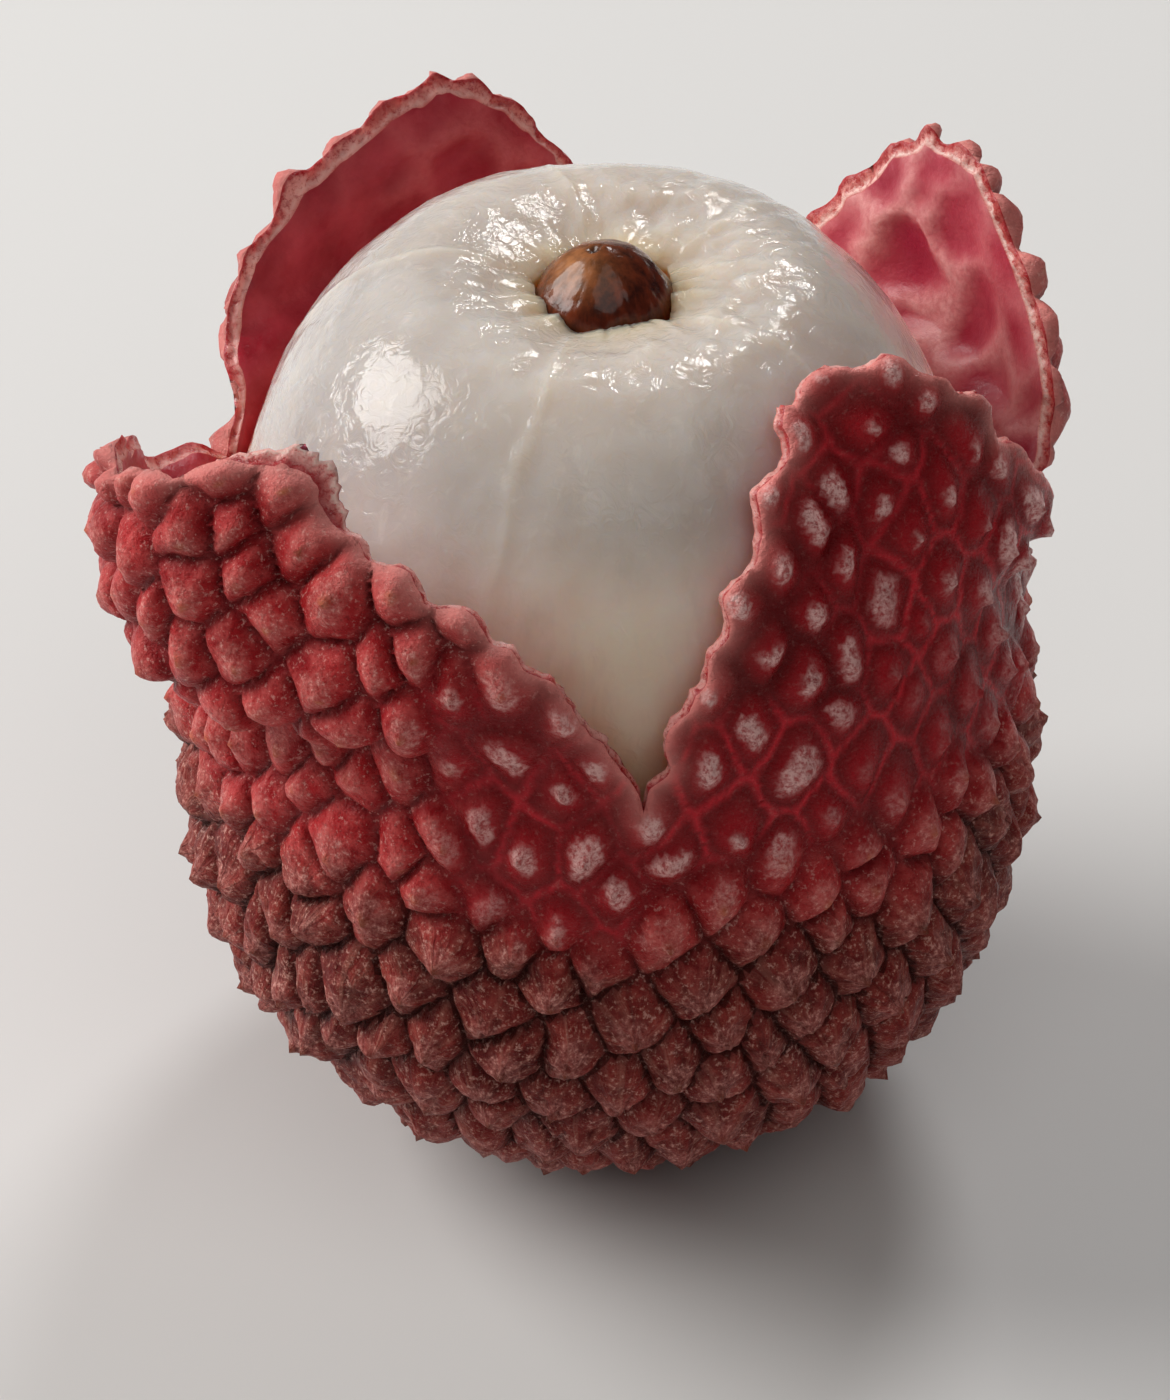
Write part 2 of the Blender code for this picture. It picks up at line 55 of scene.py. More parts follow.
# The closed rind at the foot of its bumps, as in the CAD
RIND_RADIUS = 17.1 * MM
FOOT_HEIGHT = 0.25 * MM
WIDEST_HEIGHT = 16.8 * MM
CLOSED_HEIGHT = 44.1 * MM
UPPER_POWER = 2.65
RIND_THICKNESS = 0.9 * MM
BUMP_WIDTHS = [(0, 2.65), (12, 2.4), (24, 2.05)]
BUMP_STRETCH = 1.3
BUMP_HEIGHT = 1.0 * MM
BUMP_HEIGHT_SPREAD = 0.2
BUMP_JITTER = 0.22
SPIRAL_START = 2.2
TEAR_STEP = 1.2 * MM
TEAR_RAGGEDNESS = 0.2 * MM

# The four splits, the fold and the flaps, as in the CAD
SPLIT_FRONT = (275, 10.4)
SPLIT_RIGHT = (364, 12.3)
SPLIT_BACK = (436, 11.3)
SPLIT_LEFT = (521, 10.8)
FOLD_LINE = [(275, 10.4), (340, 10.5), (364, 9.8), (400, 10.5), (436, 11.3), (521, 10.8), (545, 8.3),
             (575, 8.1), (600, 9.3), (635, 10.4)]
FLAPS = {
    "right": {
        "from": SPLIT_FRONT,
        "to": SPLIT_RIGHT,
        "tear": [(277.5, 12.6), (280.5, 14.8), (290, 19.2), (298, 22.3), (309, 25.3), (321, 26), (333, 25.2),
                 (341, 22.5), (347, 19), (357, 15.3)],
        "turns": [(275, 0, 0), (315, 0, 0), (340, 12, 12), (364, 26, 20)],
        "towards": 330,
    },
    "back_right": {
        "from": SPLIT_RIGHT,
        "to": SPLIT_BACK,
        "tear": [(366, 14.8), (370, 17.3), (376, 19), (386, 21.4), (396, 23.2), (405, 23.6), (416, 22.8),
                 (423, 21.1), (429, 16.8)],
        "turns": [(364, 26, 17), (380, 29, 18), (400, 28, 25), (436, 28, 28)],
        "towards": 372,
    },
    "back_left": {
        "from": SPLIT_BACK,
        "to": SPLIT_LEFT,
        "tear": [(443, 14.3), (447, 16.8), (452, 19.5), (460, 21.6), (470, 22.4), (481, 21.6), (490, 20.4),
                 (499, 19.6), (509.5, 17.6), (516, 14.8)],
        "turns": [(436, 30, 30), (521, 30, 30)],
        "towards": 480,
    },
    "left": {
        "from": SPLIT_LEFT,
        "to": (SPLIT_FRONT[0] + 360, SPLIT_FRONT[1]),
        "tear": [(527, 14), (532, 17.5), (548, 20.5), (572, 23.3), (584, 23.6), (593, 21.8), (601, 20.8),
                 (615, 19.2), (628, 16.5), (632, 14.3)],
        "turns": [(521, 30, 20), (555, 40, 30), (570, 38, 28), (590, 22, 12), (615, 13, 8), (635, 8, 6)],
        "towards": 579,
    },
}
FOLD_WIDTH = 4.0 * MM
CURL_WIDTH = 12.0 * MM

# The rind's fine mesh
SKIN_SPACING = 0.242 * MM
SKIN_JITTER = 0.12
LINING_SPACING = 0.5 * MM
EDGE_STEP = 0.2 * MM
EDGE_ROWS = 5
CLEAR_SHARE = 0.6

COARSENESS = 1

# The flesh and the seed, as in the CAD
FLESH_RADIUS = 15.7 * MM
FLESH_BOTTOM = 1.7 * MM
FLESH_TOP = 42.5 * MM
FLESH_UPPER_POWER = 2.7
DIMPLE_DEPTH = 3.5 * MM
DIMPLE_RADIUS = 5.2 * MM
NOTCH_AZIMUTHS = (38, 101, 164, 249, 324)
SEED_RADIUS = 6.7 * MM
SEED_BOTTOM = 18.5 * MM
SEED_WIDEST = 29.0 * MM
SEED_NECK_HEIGHT = 39.2 * MM
SEED_NECK_RADIUS = 2.72 * MM
SEED_TOP = 42.1 * MM
SEED_NECK_POWER = 1.2
SEED_TIP_POWERS = (2.1, 0.74)

# The camera: the photograph's viewing angle
CAMERA_ELEVATION = 39.0
CAMERA_DISTANCE = 260 * MM
CAMERA_TARGET = Vector((-0.8, 0, 19.4)) * MM
CAMERA_LENS = 162.5


def meridian(widest, bottom, top, power):
    """Radii and heights of a smooth body from its bottom pole to its top one. A power above 2 gives its upper
    half fuller shoulders."""
    angle = np.linspace(-math.pi / 2, math.pi / 2, MERIDIAN_STEPS)
    share = np.where(angle > 0, 2 / power, 1.0)
    rise = np.where(angle > 0, top - WIDEST_HEIGHT, WIDEST_HEIGHT - bottom)
    height = WIDEST_HEIGHT + rise * np.sign(angle) * np.abs(np.sin(angle)) ** share
    return widest * np.abs(np.cos(angle)) ** share, height


def length_along(radius, height):
    """Length along a meridian up to each of its points."""
    return np.concatenate([[0], np.cumsum(np.hypot(np.diff(radius), np.diff(height)))])


RADIUS, HEIGHT = meridian(RIND_RADIUS, FOOT_HEIGHT, CLOSED_HEIGHT, UPPER_POWER)
CLIMB = length_along(RADIUS, HEIGHT)
CLIMB = CLIMB - np.interp(WIDEST_HEIGHT, HEIGHT, CLIMB)


def smooth_step(t):
    t = np.clip(t, 0, 1)
    return t * t * (3 - 2 * t)


def rising(value, start, length):
    """0 up to the start, rising smoothly to 1 over a length."""
    return smooth_step((value - start) / length)


def window(value, start, end, fade):
    """1 between start and end, falling smoothly to 0 over fade on either side."""
    return smooth_step((value - start) / fade + 1) * smooth_step((end - value) / fade + 1)


def bell(distance, width):
    """1 at no distance, falling smoothly to 0 over about twice the width."""
    return np.exp(-((distance / width) ** 2))


def fractal(points, wavelength, octaves=3, offset=0.0):
    """Smooth noise at points, about -1 to 1, the same in every run; another offset gives another noise."""
    scaled = points / wavelength + offset
    return np.array([noise.fractal(Vector(p), 1.0, 2.0, octaves) for p in scaled])


def relief(points, depth_and_size, octaves=3, offset=0.0):
    """Smooth noise at points, of a depth and with features of a size."""
    depth, size = depth_and_size
    return depth * fractal(points, size, octaves, offset)


def wrapped_degrees(azimuth):
    return (np.degrees(azimuth) - SPLIT_FRONT[0]) % 360 + SPLIT_FRONT[0]


def unit(vectors):
    return vectors / np.maximum(np.linalg.norm(vectors, axis=-1, keepdims=True), 1e-12)


def round_point(radius, azimuth, height):
    """Place at a radius, azimuth and height."""
    return np.stack(np.broadcast_arrays(radius * np.cos(azimuth), radius * np.sin(azimuth), height), axis=-1)


def ring_at(climb):
    """Radius and height of the closed rind at a climb."""
    return np.interp(climb, CLIMB, RADIUS), np.interp(climb, CLIMB, HEIGHT)


def fold_climb(wrapped):
    """Climb of the line that the flaps fold along, for azimuths in degrees."""
    return np.interp(wrapped, [a for a, _ in FOLD_LINE], [c for _, c in FOLD_LINE]) * MM


def flap_turns(wrapped):
    """For azimuths in degrees: the flap's turn at its fold and at its tip, and the azimuth it folds to."""
    near, far, towards = np.zeros((3, *wrapped.shape))
    for flap in FLAPS.values():
        here = (wrapped >= flap["from"][0]) & (wrapped < flap["to"][0])
        turn_at, near_turns, far_turns = zip(*flap["turns"])
        near = np.where(here, np.interp(wrapped, turn_at, near_turns), near)
        far = np.where(here, np.interp(wrapped, turn_at, far_turns), far)
        towards = np.where(here, flap["towards"], towards)
    return near, far, towards


def skin_point(azimuth, climb):
    """Place of a point of the rind, at the foot of its bumps, with its flap folded out."""
    wrapped = wrapped_degrees(azimuth)
    hinge = fold_climb(wrapped)
    radius, height = ring_at(climb)
    hinge_radius, hinge_height = ring_at(hinge)
    near, far, towards = flap_turns(wrapped)
    folded = rising(climb, hinge, FOLD_WIDTH)
    curled = smooth_step((climb - hinge - FOLD_WIDTH) / CURL_WIDTH)
    turn = np.radians(near * folded + (far - near) * curled)
    out, up = radius - hinge_radius, height - hinge_height
    folded_radius = hinge_radius + out * np.cos(turn) + up * np.sin(turn)
    folded_height = hinge_height - out * np.sin(turn) + up * np.cos(turn)
    narrowing = np.where(turn > 0, radius / np.maximum(folded_radius, 1e-6), 1)
    return round_point(folded_radius, np.radians(towards + (wrapped - towards) * narrowing), folded_height)


def rind_point(azimuth, climb, above):
    """Place of a point of the rind at a height above its bumps' foot. The floor flattens what rests on it."""
    here = skin_point(azimuth, climb)
    below = skin_point(azimuth, np.maximum(climb - NORMAL_STEP, CLIMB[0]))
    along = skin_point(azimuth, climb + NORMAL_STEP) - below
    side_turn = NORMAL_STEP / np.maximum(np.interp(climb, CLIMB, RADIUS), NORMAL_STEP)
    around = skin_point(azimuth + side_turn, climb) - skin_point(azimuth - side_turn, climb)
    at_pole = climb[..., None] < CLIMB[0] + NORMAL_STEP
    normal = np.where(at_pole, np.array([0, 0, -1.0]), unit(np.cross(around, along)))
    place = here + normal * above[..., None]
    place[..., 2] = np.maximum(place[..., 2], 0)
    return place


def plane_point(azimuth, climb):
    """The closed fruit spread on a plane, its bottom pole in the middle, with small shapes nearly kept."""
    radius, height = ring_at(climb)
    from_bottom = np.arctan2(radius, (FOOT_HEIGHT + CLOSED_HEIGHT) / 2 - height)
    return round_point(np.tan(from_bottom / 2), azimuth, 0)[..., :2]


SPREAD = np.hypot(*plane_point(np.zeros_like(CLIMB), CLIMB).T)


def skin_place(flat):
    """Azimuth and climb of points of the plane: plane_point the other way round."""
    return np.arctan2(flat[:, 1], flat[:, 0]), np.interp(np.hypot(*flat.T), SPREAD, CLIMB)


def plane_scale(flat):
    """Size on the plane of one metre of the skin, at points of the plane."""
    return np.interp(np.hypot(*flat.T), SPREAD, np.gradient(SPREAD) / np.gradient(CLIMB))


def closed_point(azimuth, climb):
    """Place of a point of the closed fruit, at the foot of its bumps."""
    radius, height = ring_at(climb)
    return round_point(radius, azimuth, height)


def spiral_lattice(widths, stretch, jitter):
    """Azimuths and climbs of spread out points, one at the bottom pole and the others along a spiral. Each
    has a cell as wide as widths, one for all or one for each place of CLIMB, and stretch times as tall."""
    widths = np.broadcast_to(widths, CLIMB.shape)
    rings = (RADIUS[1:] + RADIUS[:-1]) / 2 * np.diff(CLIMB) * 2 * math.pi
    cells = HEXAGON_AREA * widths[1:] ** 2 * stretch
    below = np.concatenate([[0], np.cumsum(rings / cells)])
    number = np.arange(int(below[-1]))
    climb = np.interp(number + SPIRAL_START, below, CLIMB)
    azimuth = number * GOLDEN_ANGLE
    width = np.interp(climb, CLIMB, widths)
    draw = np.random.default_rng(RANDOM_SEED)
    climb = climb + draw.uniform(-jitter, jitter, len(number)) * width * stretch
    azimuth = azimuth + draw.uniform(-jitter, jitter, len(number)) * width / np.interp(climb, CLIMB, RADIUS)
    return np.concatenate([[0.0], azimuth]), np.concatenate([[CLIMB[0]], np.clip(climb, CLIMB[0], CLIMB[-1])])


def squashed(flat):
    """Points of the plane with radii pulled together: cells taller than wide become as tall as wide."""
    radius = np.maximum(np.hypot(*flat.T), 1e-9)
    return flat * (radius ** (1 / BUMP_STRETCH - 1))[:, None]


def tear_outline():
    """Azimuths and climbs of the rind's torn edge, once round, with a seeded raggedness, as in the CAD."""
    corners = []
    for flap in FLAPS.values():
        corners += [flap["from"], *flap["tear"]]
    corners.append((corners[0][0] + 360, corners[0][1]))
    at = np.radians([a for a, _ in corners])
    climb = np.array([c for _, c in corners]) * MM
    draw = np.random.default_rng(RANDOM_SEED)
    azimuths, climbs = [], []
    splits = {flap["from"][0] for flap in FLAPS.values()}
    for i in range(len(corners) - 1):
        ends = closed_point(at[i : i + 2], climb[i : i + 2])
        steps = max(1, round(float(np.linalg.norm(ends[1] - ends[0])) / TEAR_STEP))
        for k in range(steps):
            ragged = 0 if k == 0 and corners[i][0] in splits else TEAR_RAGGEDNESS
            there_climb = climb[i] + (climb[i + 1] - climb[i]) * k / steps
            there_azimuth = at[i] + (at[i + 1] - at[i]) * k / steps
            climbs.append(there_climb + ragged * draw.uniform(-1, 1))
            azimuths.append(there_azimuth + ragged * draw.uniform(-1, 1) / ring_at(there_climb)[0])
    return np.array(azimuths), np.array(climbs)


def inside_outline(flat, outline):
    """Which points of the plane lie inside a closed outline."""
    inside = np.zeros(len(flat), bool)
    for (ax, ay), (bx, by) in zip(outline, np.roll(outline, -1, axis=0)):
        spans = (flat[:, 1] < ay) != (flat[:, 1] < by)
        height = np.where(spans, by - ay, 1)
        inside ^= spans & (flat[:, 0] < ax + (flat[:, 1] - ay) * (bx - ax) / height)
    return inside


def nearest_distance(points, others):
    """Distance of each point from the nearest of the others."""
    tree = kdtree.KDTree(len(others))
    for number, place in enumerate(others):
        tree.insert(place, number)
    tree.balance()
    return np.array([tree.find(place)[2] for place in points])


def triangulate(flat, tear_count):
    """Triangles inside a torn edge, whose points come first."""
    edges = [(i, (i + 1) % tear_count) for i in range(tear_count)]
    _, _, faces, kept, _, _ = delaunay_2d_cdt([Vector(p) for p in flat], edges, [], 1, 1e-9)
    if not all(kept):
        raise ValueError("the torn edge crosses itself")
    return [[kept[corner][0] for corner in face] for face in faces]


# Shape of the rind

# Each bump on the flaps, the dry cup and the frosted skin: its wall's share of its height, and the powers
# of wall and cone
FLAP_SHAPE = (0.52, 3.6, 1.3)
CUP_SHAPE = (0.52, 2.9, 1.25)
FROSTED_SHAPE = (0.22, 2.5, 2.1)
FROSTED_HEIGHT = 0.8
BORDER_SMOOTHING = 3.0
APEX_JITTER = 0.2 * MM
APEX_DROP = (0.12 * MM, 0.5 * MM)
CELL_SPREAD = 0.9 * MM**2
NEIGHBOURS = 5
CHUNK = 1000
NUB_HEIGHT = 0.26 * MM
NUB_REACH = 0.24
GROOVE_DEPTH = 0.18 * MM
GROOVE_WIDTH = 0.15 * MM
NET_HEIGHT = 0.14 * MM
NET_WIDTH = 0.11 * MM
WRINKLES = 5
WRINKLE_DEPTH = 0.2 * MM
CLOSING_STEEPNESS = 2.0
FULL_REACH = 0.85 * MM
TEAR_RIM = 0.4 * MM
TEAR_ROUNDING = 0.15 * MM

# Depth and size of the waves in the cells' borders and in the wrinkles (radians), of sagging flanks, grain
# and frost crystals, and of the frosted crowns' outlines (share of a bump)
WARP = (0.4 * MM, 4.5 * MM)
RUFFLE = (0.12 * MM, 1.2 * MM)
WRINKLE_WAVES = (2.0, 1.1 * MM)
SAG = (0.26 * MM, 1.7 * MM)
GRAIN = (0.06 * MM, 0.6 * MM)
CRYSTALS = (0.16 * MM, 0.55 * MM)
CROWN_WAVES = (0.18, 0.9 * MM)

# Where crowns and tips start and over how much of a bump, and where the frost ends, away from the tear
CROWN_START = 0.36
CROWN_START_SPREAD = 0.3
CROWN_FADE = 0.16
TIP_FADE = (0.72, 0.25)
FROST_END = (4.5 * MM, 4 * MM)

# Regions: the dry cup, the frosted skin of the right flap and left of the front split, the wet folds
CUP_TOP = 6.5 * MM
CUP_FADE = 5 * MM
CUP_WAVES = (1.5 * MM, 6 * MM)
RIGHT_AZIMUTHS = (274, 364, 4)
RIGHT_CLIMBS = (5 * MM, 4 * MM)
LEFT_AZIMUTHS = (614, 636, 10)
LEFT_CLIMBS = (5.5 * MM, 15 * MM, 3 * MM)
WET_CLIMBS = (-3.5 * MM, 1.5 * MM, 1.5 * MM)
WET_PATCHES = 2.2 * MM

# The lining: soft ridges round hollows that are wider than a bump
HOLLOW_SPACING = 3.4 * MM
HOLLOW_STRETCH = 1.5
HOLLOW_JITTER = 0.3
HOLLOW_SLOPE = 1.3 * MM
RIB_WIDTH = 0.42 * MM
RIB_HEIGHT = 0.46 * MM
RIB_WARP = (1.1 * MM, 4 * MM)
LINING_WAVES = (0.1 * MM, 3 * MM)

# The wall buckles where a flap folds, as in the CAD: a crease along the fold, a belly above it
FULL_TURN = 40.0
CREASE_PLACE = 2.4 * MM
CREASE_REACH = 0.9 * MM
CREASE_DEPTH = 0.6 * MM
BELLY_PLACE = 4.9 * MM
BELLY_REACH = 1.7 * MM
BELLY_HEIGHT = 0.7 * MM
LINING_BUCKLE = 0.5
CREASE_FLATTENING = 0.55

# The torn edge: it runs round the bumps, thins out and leans, inwards at the back and left flaps, with a
# fringe at the tip of the left one, and shows pale pith there and at the back right
SCALLOP = 1.25 * MM
SCALLOP_MIDDLE = 0.42
OPENING_REACH = 3 * MM
EDGE_THINNING = 0.42 * MM
THINNING_REACH = 1.5 * MM
CRUMBS = (0.2 * MM, 0.4 * MM)
CRUMB_BELLY = 0.04 * MM
RAGGEDNESS = (0.15 * MM, 0.8 * MM)
BEVEL = 0.06 * MM
BEVEL_WAVES = (0.14 * MM, 2.5 * MM)
ROLL = 0.75 * MM
ROLL_WAVES = (0.35 * MM, 2.2 * MM)
FRINGE = 0.55 * MM
TUCK = 0.7 * MM
FRAY_DEPTHS = (0.12, 0.25)
FRAY_SIZE = 0.45 * MM
ROLLED_AZIMUTHS = (366, 516, 6)
FRINGE_AZIMUTHS = (580, 592, 4)
TUCKED_AZIMUTHS = (524, 572, 6)
# The lining is paler at these azimuths, at the back right: partly its own paler tone, partly painted light on
# the lit side
PALE_PAINTED_LIGHT_AZIMUTHS = (366, 434, 6)
PITH_AZIMUTHS = ((368, 434, 5), (581, 592, 4))
PITH_LEAST = 0.45

BROAD = RADIUS > 0.5 * MM
SQUASHED_SCALE = SPREAD[BROAD] ** (1 / BUMP_STRETCH) / RADIUS[BROAD]


class Bumps:
    """The rind's bumps, as in the CAD, and the cell of one of them that any point of the skin lies in."""

    def __init__(self):
        widths = np.interp(CLIMB / MM, *zip(*BUMP_WIDTHS)) * MM
        self.azimuth, climb = spiral_lattice(widths, BUMP_STRETCH, BUMP_JITTER)
        self.flat = squashed(plane_point(self.azimuth, climb))
        count = len(climb)
        draw = np.random.default_rng(RANDOM_SEED)
        self.tips = BUMP_HEIGHT * (1 + BUMP_HEIGHT_SPREAD * draw.uniform(-1, 1, count))
        self.shift = draw.uniform(-1, 1, (count, 2)) * APEX_JITTER
        self.phase = draw.uniform(0, 2 * math.pi, count)
        self.weight = draw.uniform(0, 1, count) * CELL_SPREAD

    def around(self, azimuth, climb, cup, from_tear=None):
        """For points of the skin: nearest bump, distance from its border, share of the way up to its apex,
        distance from border to apex and direction from the apex. The torn edge closes the bumps it meets."""
        places = closed_point(azimuth, climb)
        scale = np.interp(climb, CLIMB[BROAD], SQUASHED_SCALE)
        shifts = [relief(places, WARP, 2, offset) + relief(places, RUFFLE, 2, offset + 40)
                  for offset in (11.3, 22.6)]
        flat = squashed(plane_point(azimuth, climb)) / scale[:, None] + np.stack(shifts, axis=1)
        near = []
        parts = max(1, len(places) // CHUNK)
        for chunk, size in zip(np.array_split(flat, parts), np.array_split(scale, parts)):
            gaps = ((chunk[:, None] - self.flat[None] / size[:, None, None]) ** 2).sum(axis=2) - self.weight
            near.append(np.argpartition(gaps, NEIGHBOURS, axis=1)[:, :NEIGHBOURS])
        near = np.concatenate(near)
        centres = self.flat[near] / scale[:, None, None]
        gaps = ((flat[:, None] - centres) ** 2).sum(axis=2) - self.weight[near]
        order = np.argsort(gaps, axis=1)
        row = np.arange(len(flat))[:, None]
        near, gaps, centres = near[row, order], gaps[row, order], centres[row, order]
        between = np.linalg.norm(centres[:, 1:] - centres[:, :1], axis=2)
        borders = np.maximum((gaps[:, 1:] - gaps[:, :1]) / (2 * between), 1e-7)
        if from_tear is not None:
            closing = np.maximum(CLOSING_STEEPNESS * from_tear, 1e-7)
            borders = np.concatenate([borders, closing[:, None]], axis=1)
        border = (borders**-BORDER_SMOOTHING).sum(axis=1) ** (-1 / BORDER_SMOOTHING)
        own, away = near[:, 0], flat - centres[:, 0]
        turn = self.azimuth[own]
        across = away[:, 1] * np.cos(turn) - away[:, 0] * np.sin(turn) - self.shift[own, 0]
        up = away[:, 0] * np.cos(turn) + away[:, 1] * np.sin(turn) - self.shift[own, 1]
        up = up + APEX_DROP[0] + (APEX_DROP[1] - APEX_DROP[0]) * cup
        reach = border + np.hypot(across, up)
        return own, border, border / reach, reach, np.arctan2(up, across)


def fold_place(azimuth, climb):
    """Height above the fold line along the skin, and the flap's turn there as a share of a full one."""
    wrapped = wrapped_degrees(azimuth)
    return climb - fold_climb(wrapped), flap_turns(wrapped)[0] / FULL_TURN


def buckle(azimuth, climb):
    """Offset of the wall where a flap folds, inwards at the crease and outwards above it, and how creased it
    is, 0 to 1."""
    past, turned = fold_place(azimuth, climb)
    crease = bell(past - CREASE_PLACE, CREASE_REACH)
    belly = BELLY_HEIGHT * bell(past - BELLY_PLACE, BELLY_REACH)
    return turned * (belly - CREASE_DEPTH * crease), turned * crease


def zones(azimuth, climb):
    """Shares, 0 to 1, of the regions that differ: the dry cup, the low, frosted skin and the wet skin."""
    wrapped = wrapped_degrees(azimuth)
    places = closed_point(azimuth, climb)
    past, turned = fold_place(azimuth, climb)
    cup = smooth_step((CUP_TOP + relief(places, CUP_WAVES, 2, 3.1) - climb) / CUP_FADE)
    right = window(wrapped, *RIGHT_AZIMUTHS) * rising(climb, *RIGHT_CLIMBS)
    left = window(wrapped, *LEFT_AZIMUTHS) * window(climb, *LEFT_CLIMBS)
    wet = smooth_step(turned * 2) * window(past, *WET_CLIMBS)
    wet *= smooth_step((fractal(places, WET_PATCHES, 3, 4.9) + 0.08) * 4)
    return cup, np.maximum(right, 0.9 * left), wet


def skin_heights(bumps, azimuth, climb, from_tear):
    """Height above the bumps' foot for points of the outer skin, and the values that its colours follow."""
    places = closed_point(azimuth, climb)
    cup, low, wet = zones(azimuth, climb)
    own, border, share, reach, direction = bumps.around(azimuth, climb, cup, from_tear)
    frosted = low * (1 - cup)
    wall, wall_power, cone_power = (
        flap + (dry - flap) * cup + (frost - flap) * frosted
        for flap, dry, frost in zip(FLAP_SHAPE, CUP_SHAPE, FROSTED_SHAPE)
    )
    profile = wall * (1 - (1 - share) ** wall_power) + (1 - wall) * share**cone_power
    offset, pinched = buckle(azimuth, climb)
    lowered = (1 - CREASE_FLATTENING * pinched) * (1 - (1 - FROSTED_HEIGHT) * frosted)
    broad = smooth_step(reach / FULL_REACH)
    height = bumps.tips[own] * profile * lowered * broad + offset
    height += NUB_HEIGHT * np.clip(1 - (1 - share) / NUB_REACH, 0, 1) * (0.6 + 0.6 * cup) * broad

    # Wrinkles run down the flanks of the dry bumps, which sag between them
    turn = direction * WRINKLES / 2 + bumps.phase[own] + relief(places, WRINKLE_WAVES, 2)
    flank = share * (1 - share) * 4
    wrinkled = (1 - np.abs(np.sin(turn))) ** 2 * flank
    height -= WRINKLE_DEPTH * wrinkled * (0.1 + 0.9 * cup)
    height += relief(places, SAG, 2, 6.6) * flank * (0.25 + 0.75 * cup)
    height += relief(places, GRAIN, 3, 7.7) * (0.8 + 0.5 * cup)

    # Frost covers the crowns of the low bumps, most near the tear, and a raised net runs between them
    inland = rising(from_tear, *FROST_END) * frosted
    starts = CROWN_START + CROWN_START_SPREAD * bumps.phase[own] / (2 * math.pi) * low
    starts = starts - relief(places, CROWN_WAVES, 3, 1.7)
    crown = rising(share, starts, CROWN_FADE) * (1 - 0.85 * inland)
    height += relief(places, CRYSTALS, 3, 9.9) * crown * frosted
    net = frosted * smooth_step(0.7 + 1.2 * fractal(places, 5 * MM, 2, 2.9))
    height -= GROOVE_DEPTH * bell(border, GROOVE_WIDTH) * (1 - 0.75 * frosted)
    height += NET_HEIGHT * bell(border, NET_WIDTH) * net
    height *= 1 - np.exp(-from_tear / TEAR_ROUNDING) * 0.5
    values = {
        "tip": rising(share, *TIP_FADE),
        # The skin's material also colours the crowns pale: partly frost, partly painted highlight on the
        # bumps' tops
        "crown": crown,
        "rise": share,
        "tear": np.exp(-from_tear / TEAR_RIM),
        # Painted shade: the skin's material colours the creases between the bumps darker
        "groove_shade": bell(border, 1.3 * GROOVE_WIDTH),
        "net": bell(border, 1.2 * NET_WIDTH) * net,
        "cup": cup,
        "frosted": frosted,
        "wet": wet,
        # The dry cup's wrinkle troughs, which the skin's material colours darker as painted shade
        "fold": wrinkled * cup,
        "ray": np.stack([np.cos(direction), np.sin(direction), own * 0.37], axis=1),
    }
    return height, values


def hollows(azimuth, climb):
    """The lining's soft relief: 0 to 1 for its ridges, and 0 to 1 for the hollows between them."""
    places = closed_point(azimuth, climb)
    centres = closed_point(*spiral_lattice(HOLLOW_SPACING, HOLLOW_STRETCH, HOLLOW_JITTER))
    squash = np.array([1, 1, 1 / HOLLOW_STRETCH])
    moved = places + np.stack([relief(places, RIB_WARP, 3, offset) for offset in (3.3, 13.1, 27.7)], axis=1)
    gaps = (((moved[:, None] - centres[None]) * squash) ** 2).sum(axis=2)
    first, second = np.sqrt(np.partition(gaps, 1, axis=1)[:, :2]).T
    border = (second - first) / 2
    strong = smooth_step(0.5 + 1.0 * fractal(places, 8 * MM, 2, 5.5))
    return bell(border, RIB_WIDTH) * strong, smooth_step(border / HOLLOW_SLOPE) * strong


def smoothed(closed, times):
    """Values along a closed line, evened out with their neighbours a number of times."""
    for _ in range(times):
        closed = (np.roll(closed, 1, axis=0) + closed * 2 + np.roll(closed, -1, axis=0)) / 4
    return closed


def fine_outlines(bumps):
    """The torn edge on the plane, fine and ragged: its run in the outer skin and its run in the lining."""
    coarse = plane_point(*tear_outline())
    split_azimuths, split_climbs = zip(*(flap["from"] for flap in FLAPS.values()))
    splits = plane_point(np.radians(split_azimuths), np.array(split_climbs) * MM)
    points = []
    for here, after in zip(coarse, np.roll(coarse, -1, axis=0)):
        long = np.linalg.norm(after - here) / plane_scale(here[None])[0]
        count = max(1, round(long / (EDGE_STEP * COARSENESS)))
        points += [here + (after - here) * k / count for k in range(count)]
    points = np.array(points)
    scale = plane_scale(points)
    soft = smoothed(points, 12)
    along = np.roll(soft, -2, axis=0) - np.roll(soft, 2, axis=0)
    normal = unit(np.stack([along[:, 1], -along[:, 0]], axis=1))
    azimuth, climb = skin_place(points)
    places = closed_point(azimuth, climb)
    open_share = smooth_step(nearest_distance(places, closed_point(*skin_place(splits))) / OPENING_REACH)
    share = smoothed(bumps.around(azimuth, climb, np.zeros_like(climb))[2], 6)
    ragged = relief(places, RAGGEDNESS, 3, 1.3) + SCALLOP * (share - SCALLOP_MIDDLE)
    wrapped = wrapped_degrees(azimuth)
    stretches = ROLLED_AZIMUTHS, FRINGE_AZIMUTHS, TUCKED_AZIMUTHS
    inwards, fringe, tucked = (window(wrapped, *at) for at in stretches)
    bevel = BEVEL + relief(places, BEVEL_WAVES, 2, 9.2)
    rolled = ROLL + relief(places, ROLL_WAVES, 2, 9.2)
    bevel = bevel + FRINGE * fringe - TUCK * tucked - (bevel + rolled) * inwards
    fray = (FRAY_DEPTHS[0] + FRAY_DEPTHS[1] * fringe) * MM * fractal(places, FRAY_SIZE, 2, 4.4)
    outer = points + normal * (ragged * open_share * scale)[:, None]
    leaning = ragged * (1 - 0.85 * inwards) + bevel + fray * (1 - 0.6 * inwards)
    inner = points + normal * (leaning * open_share * scale)[:, None]
    return outer, inner


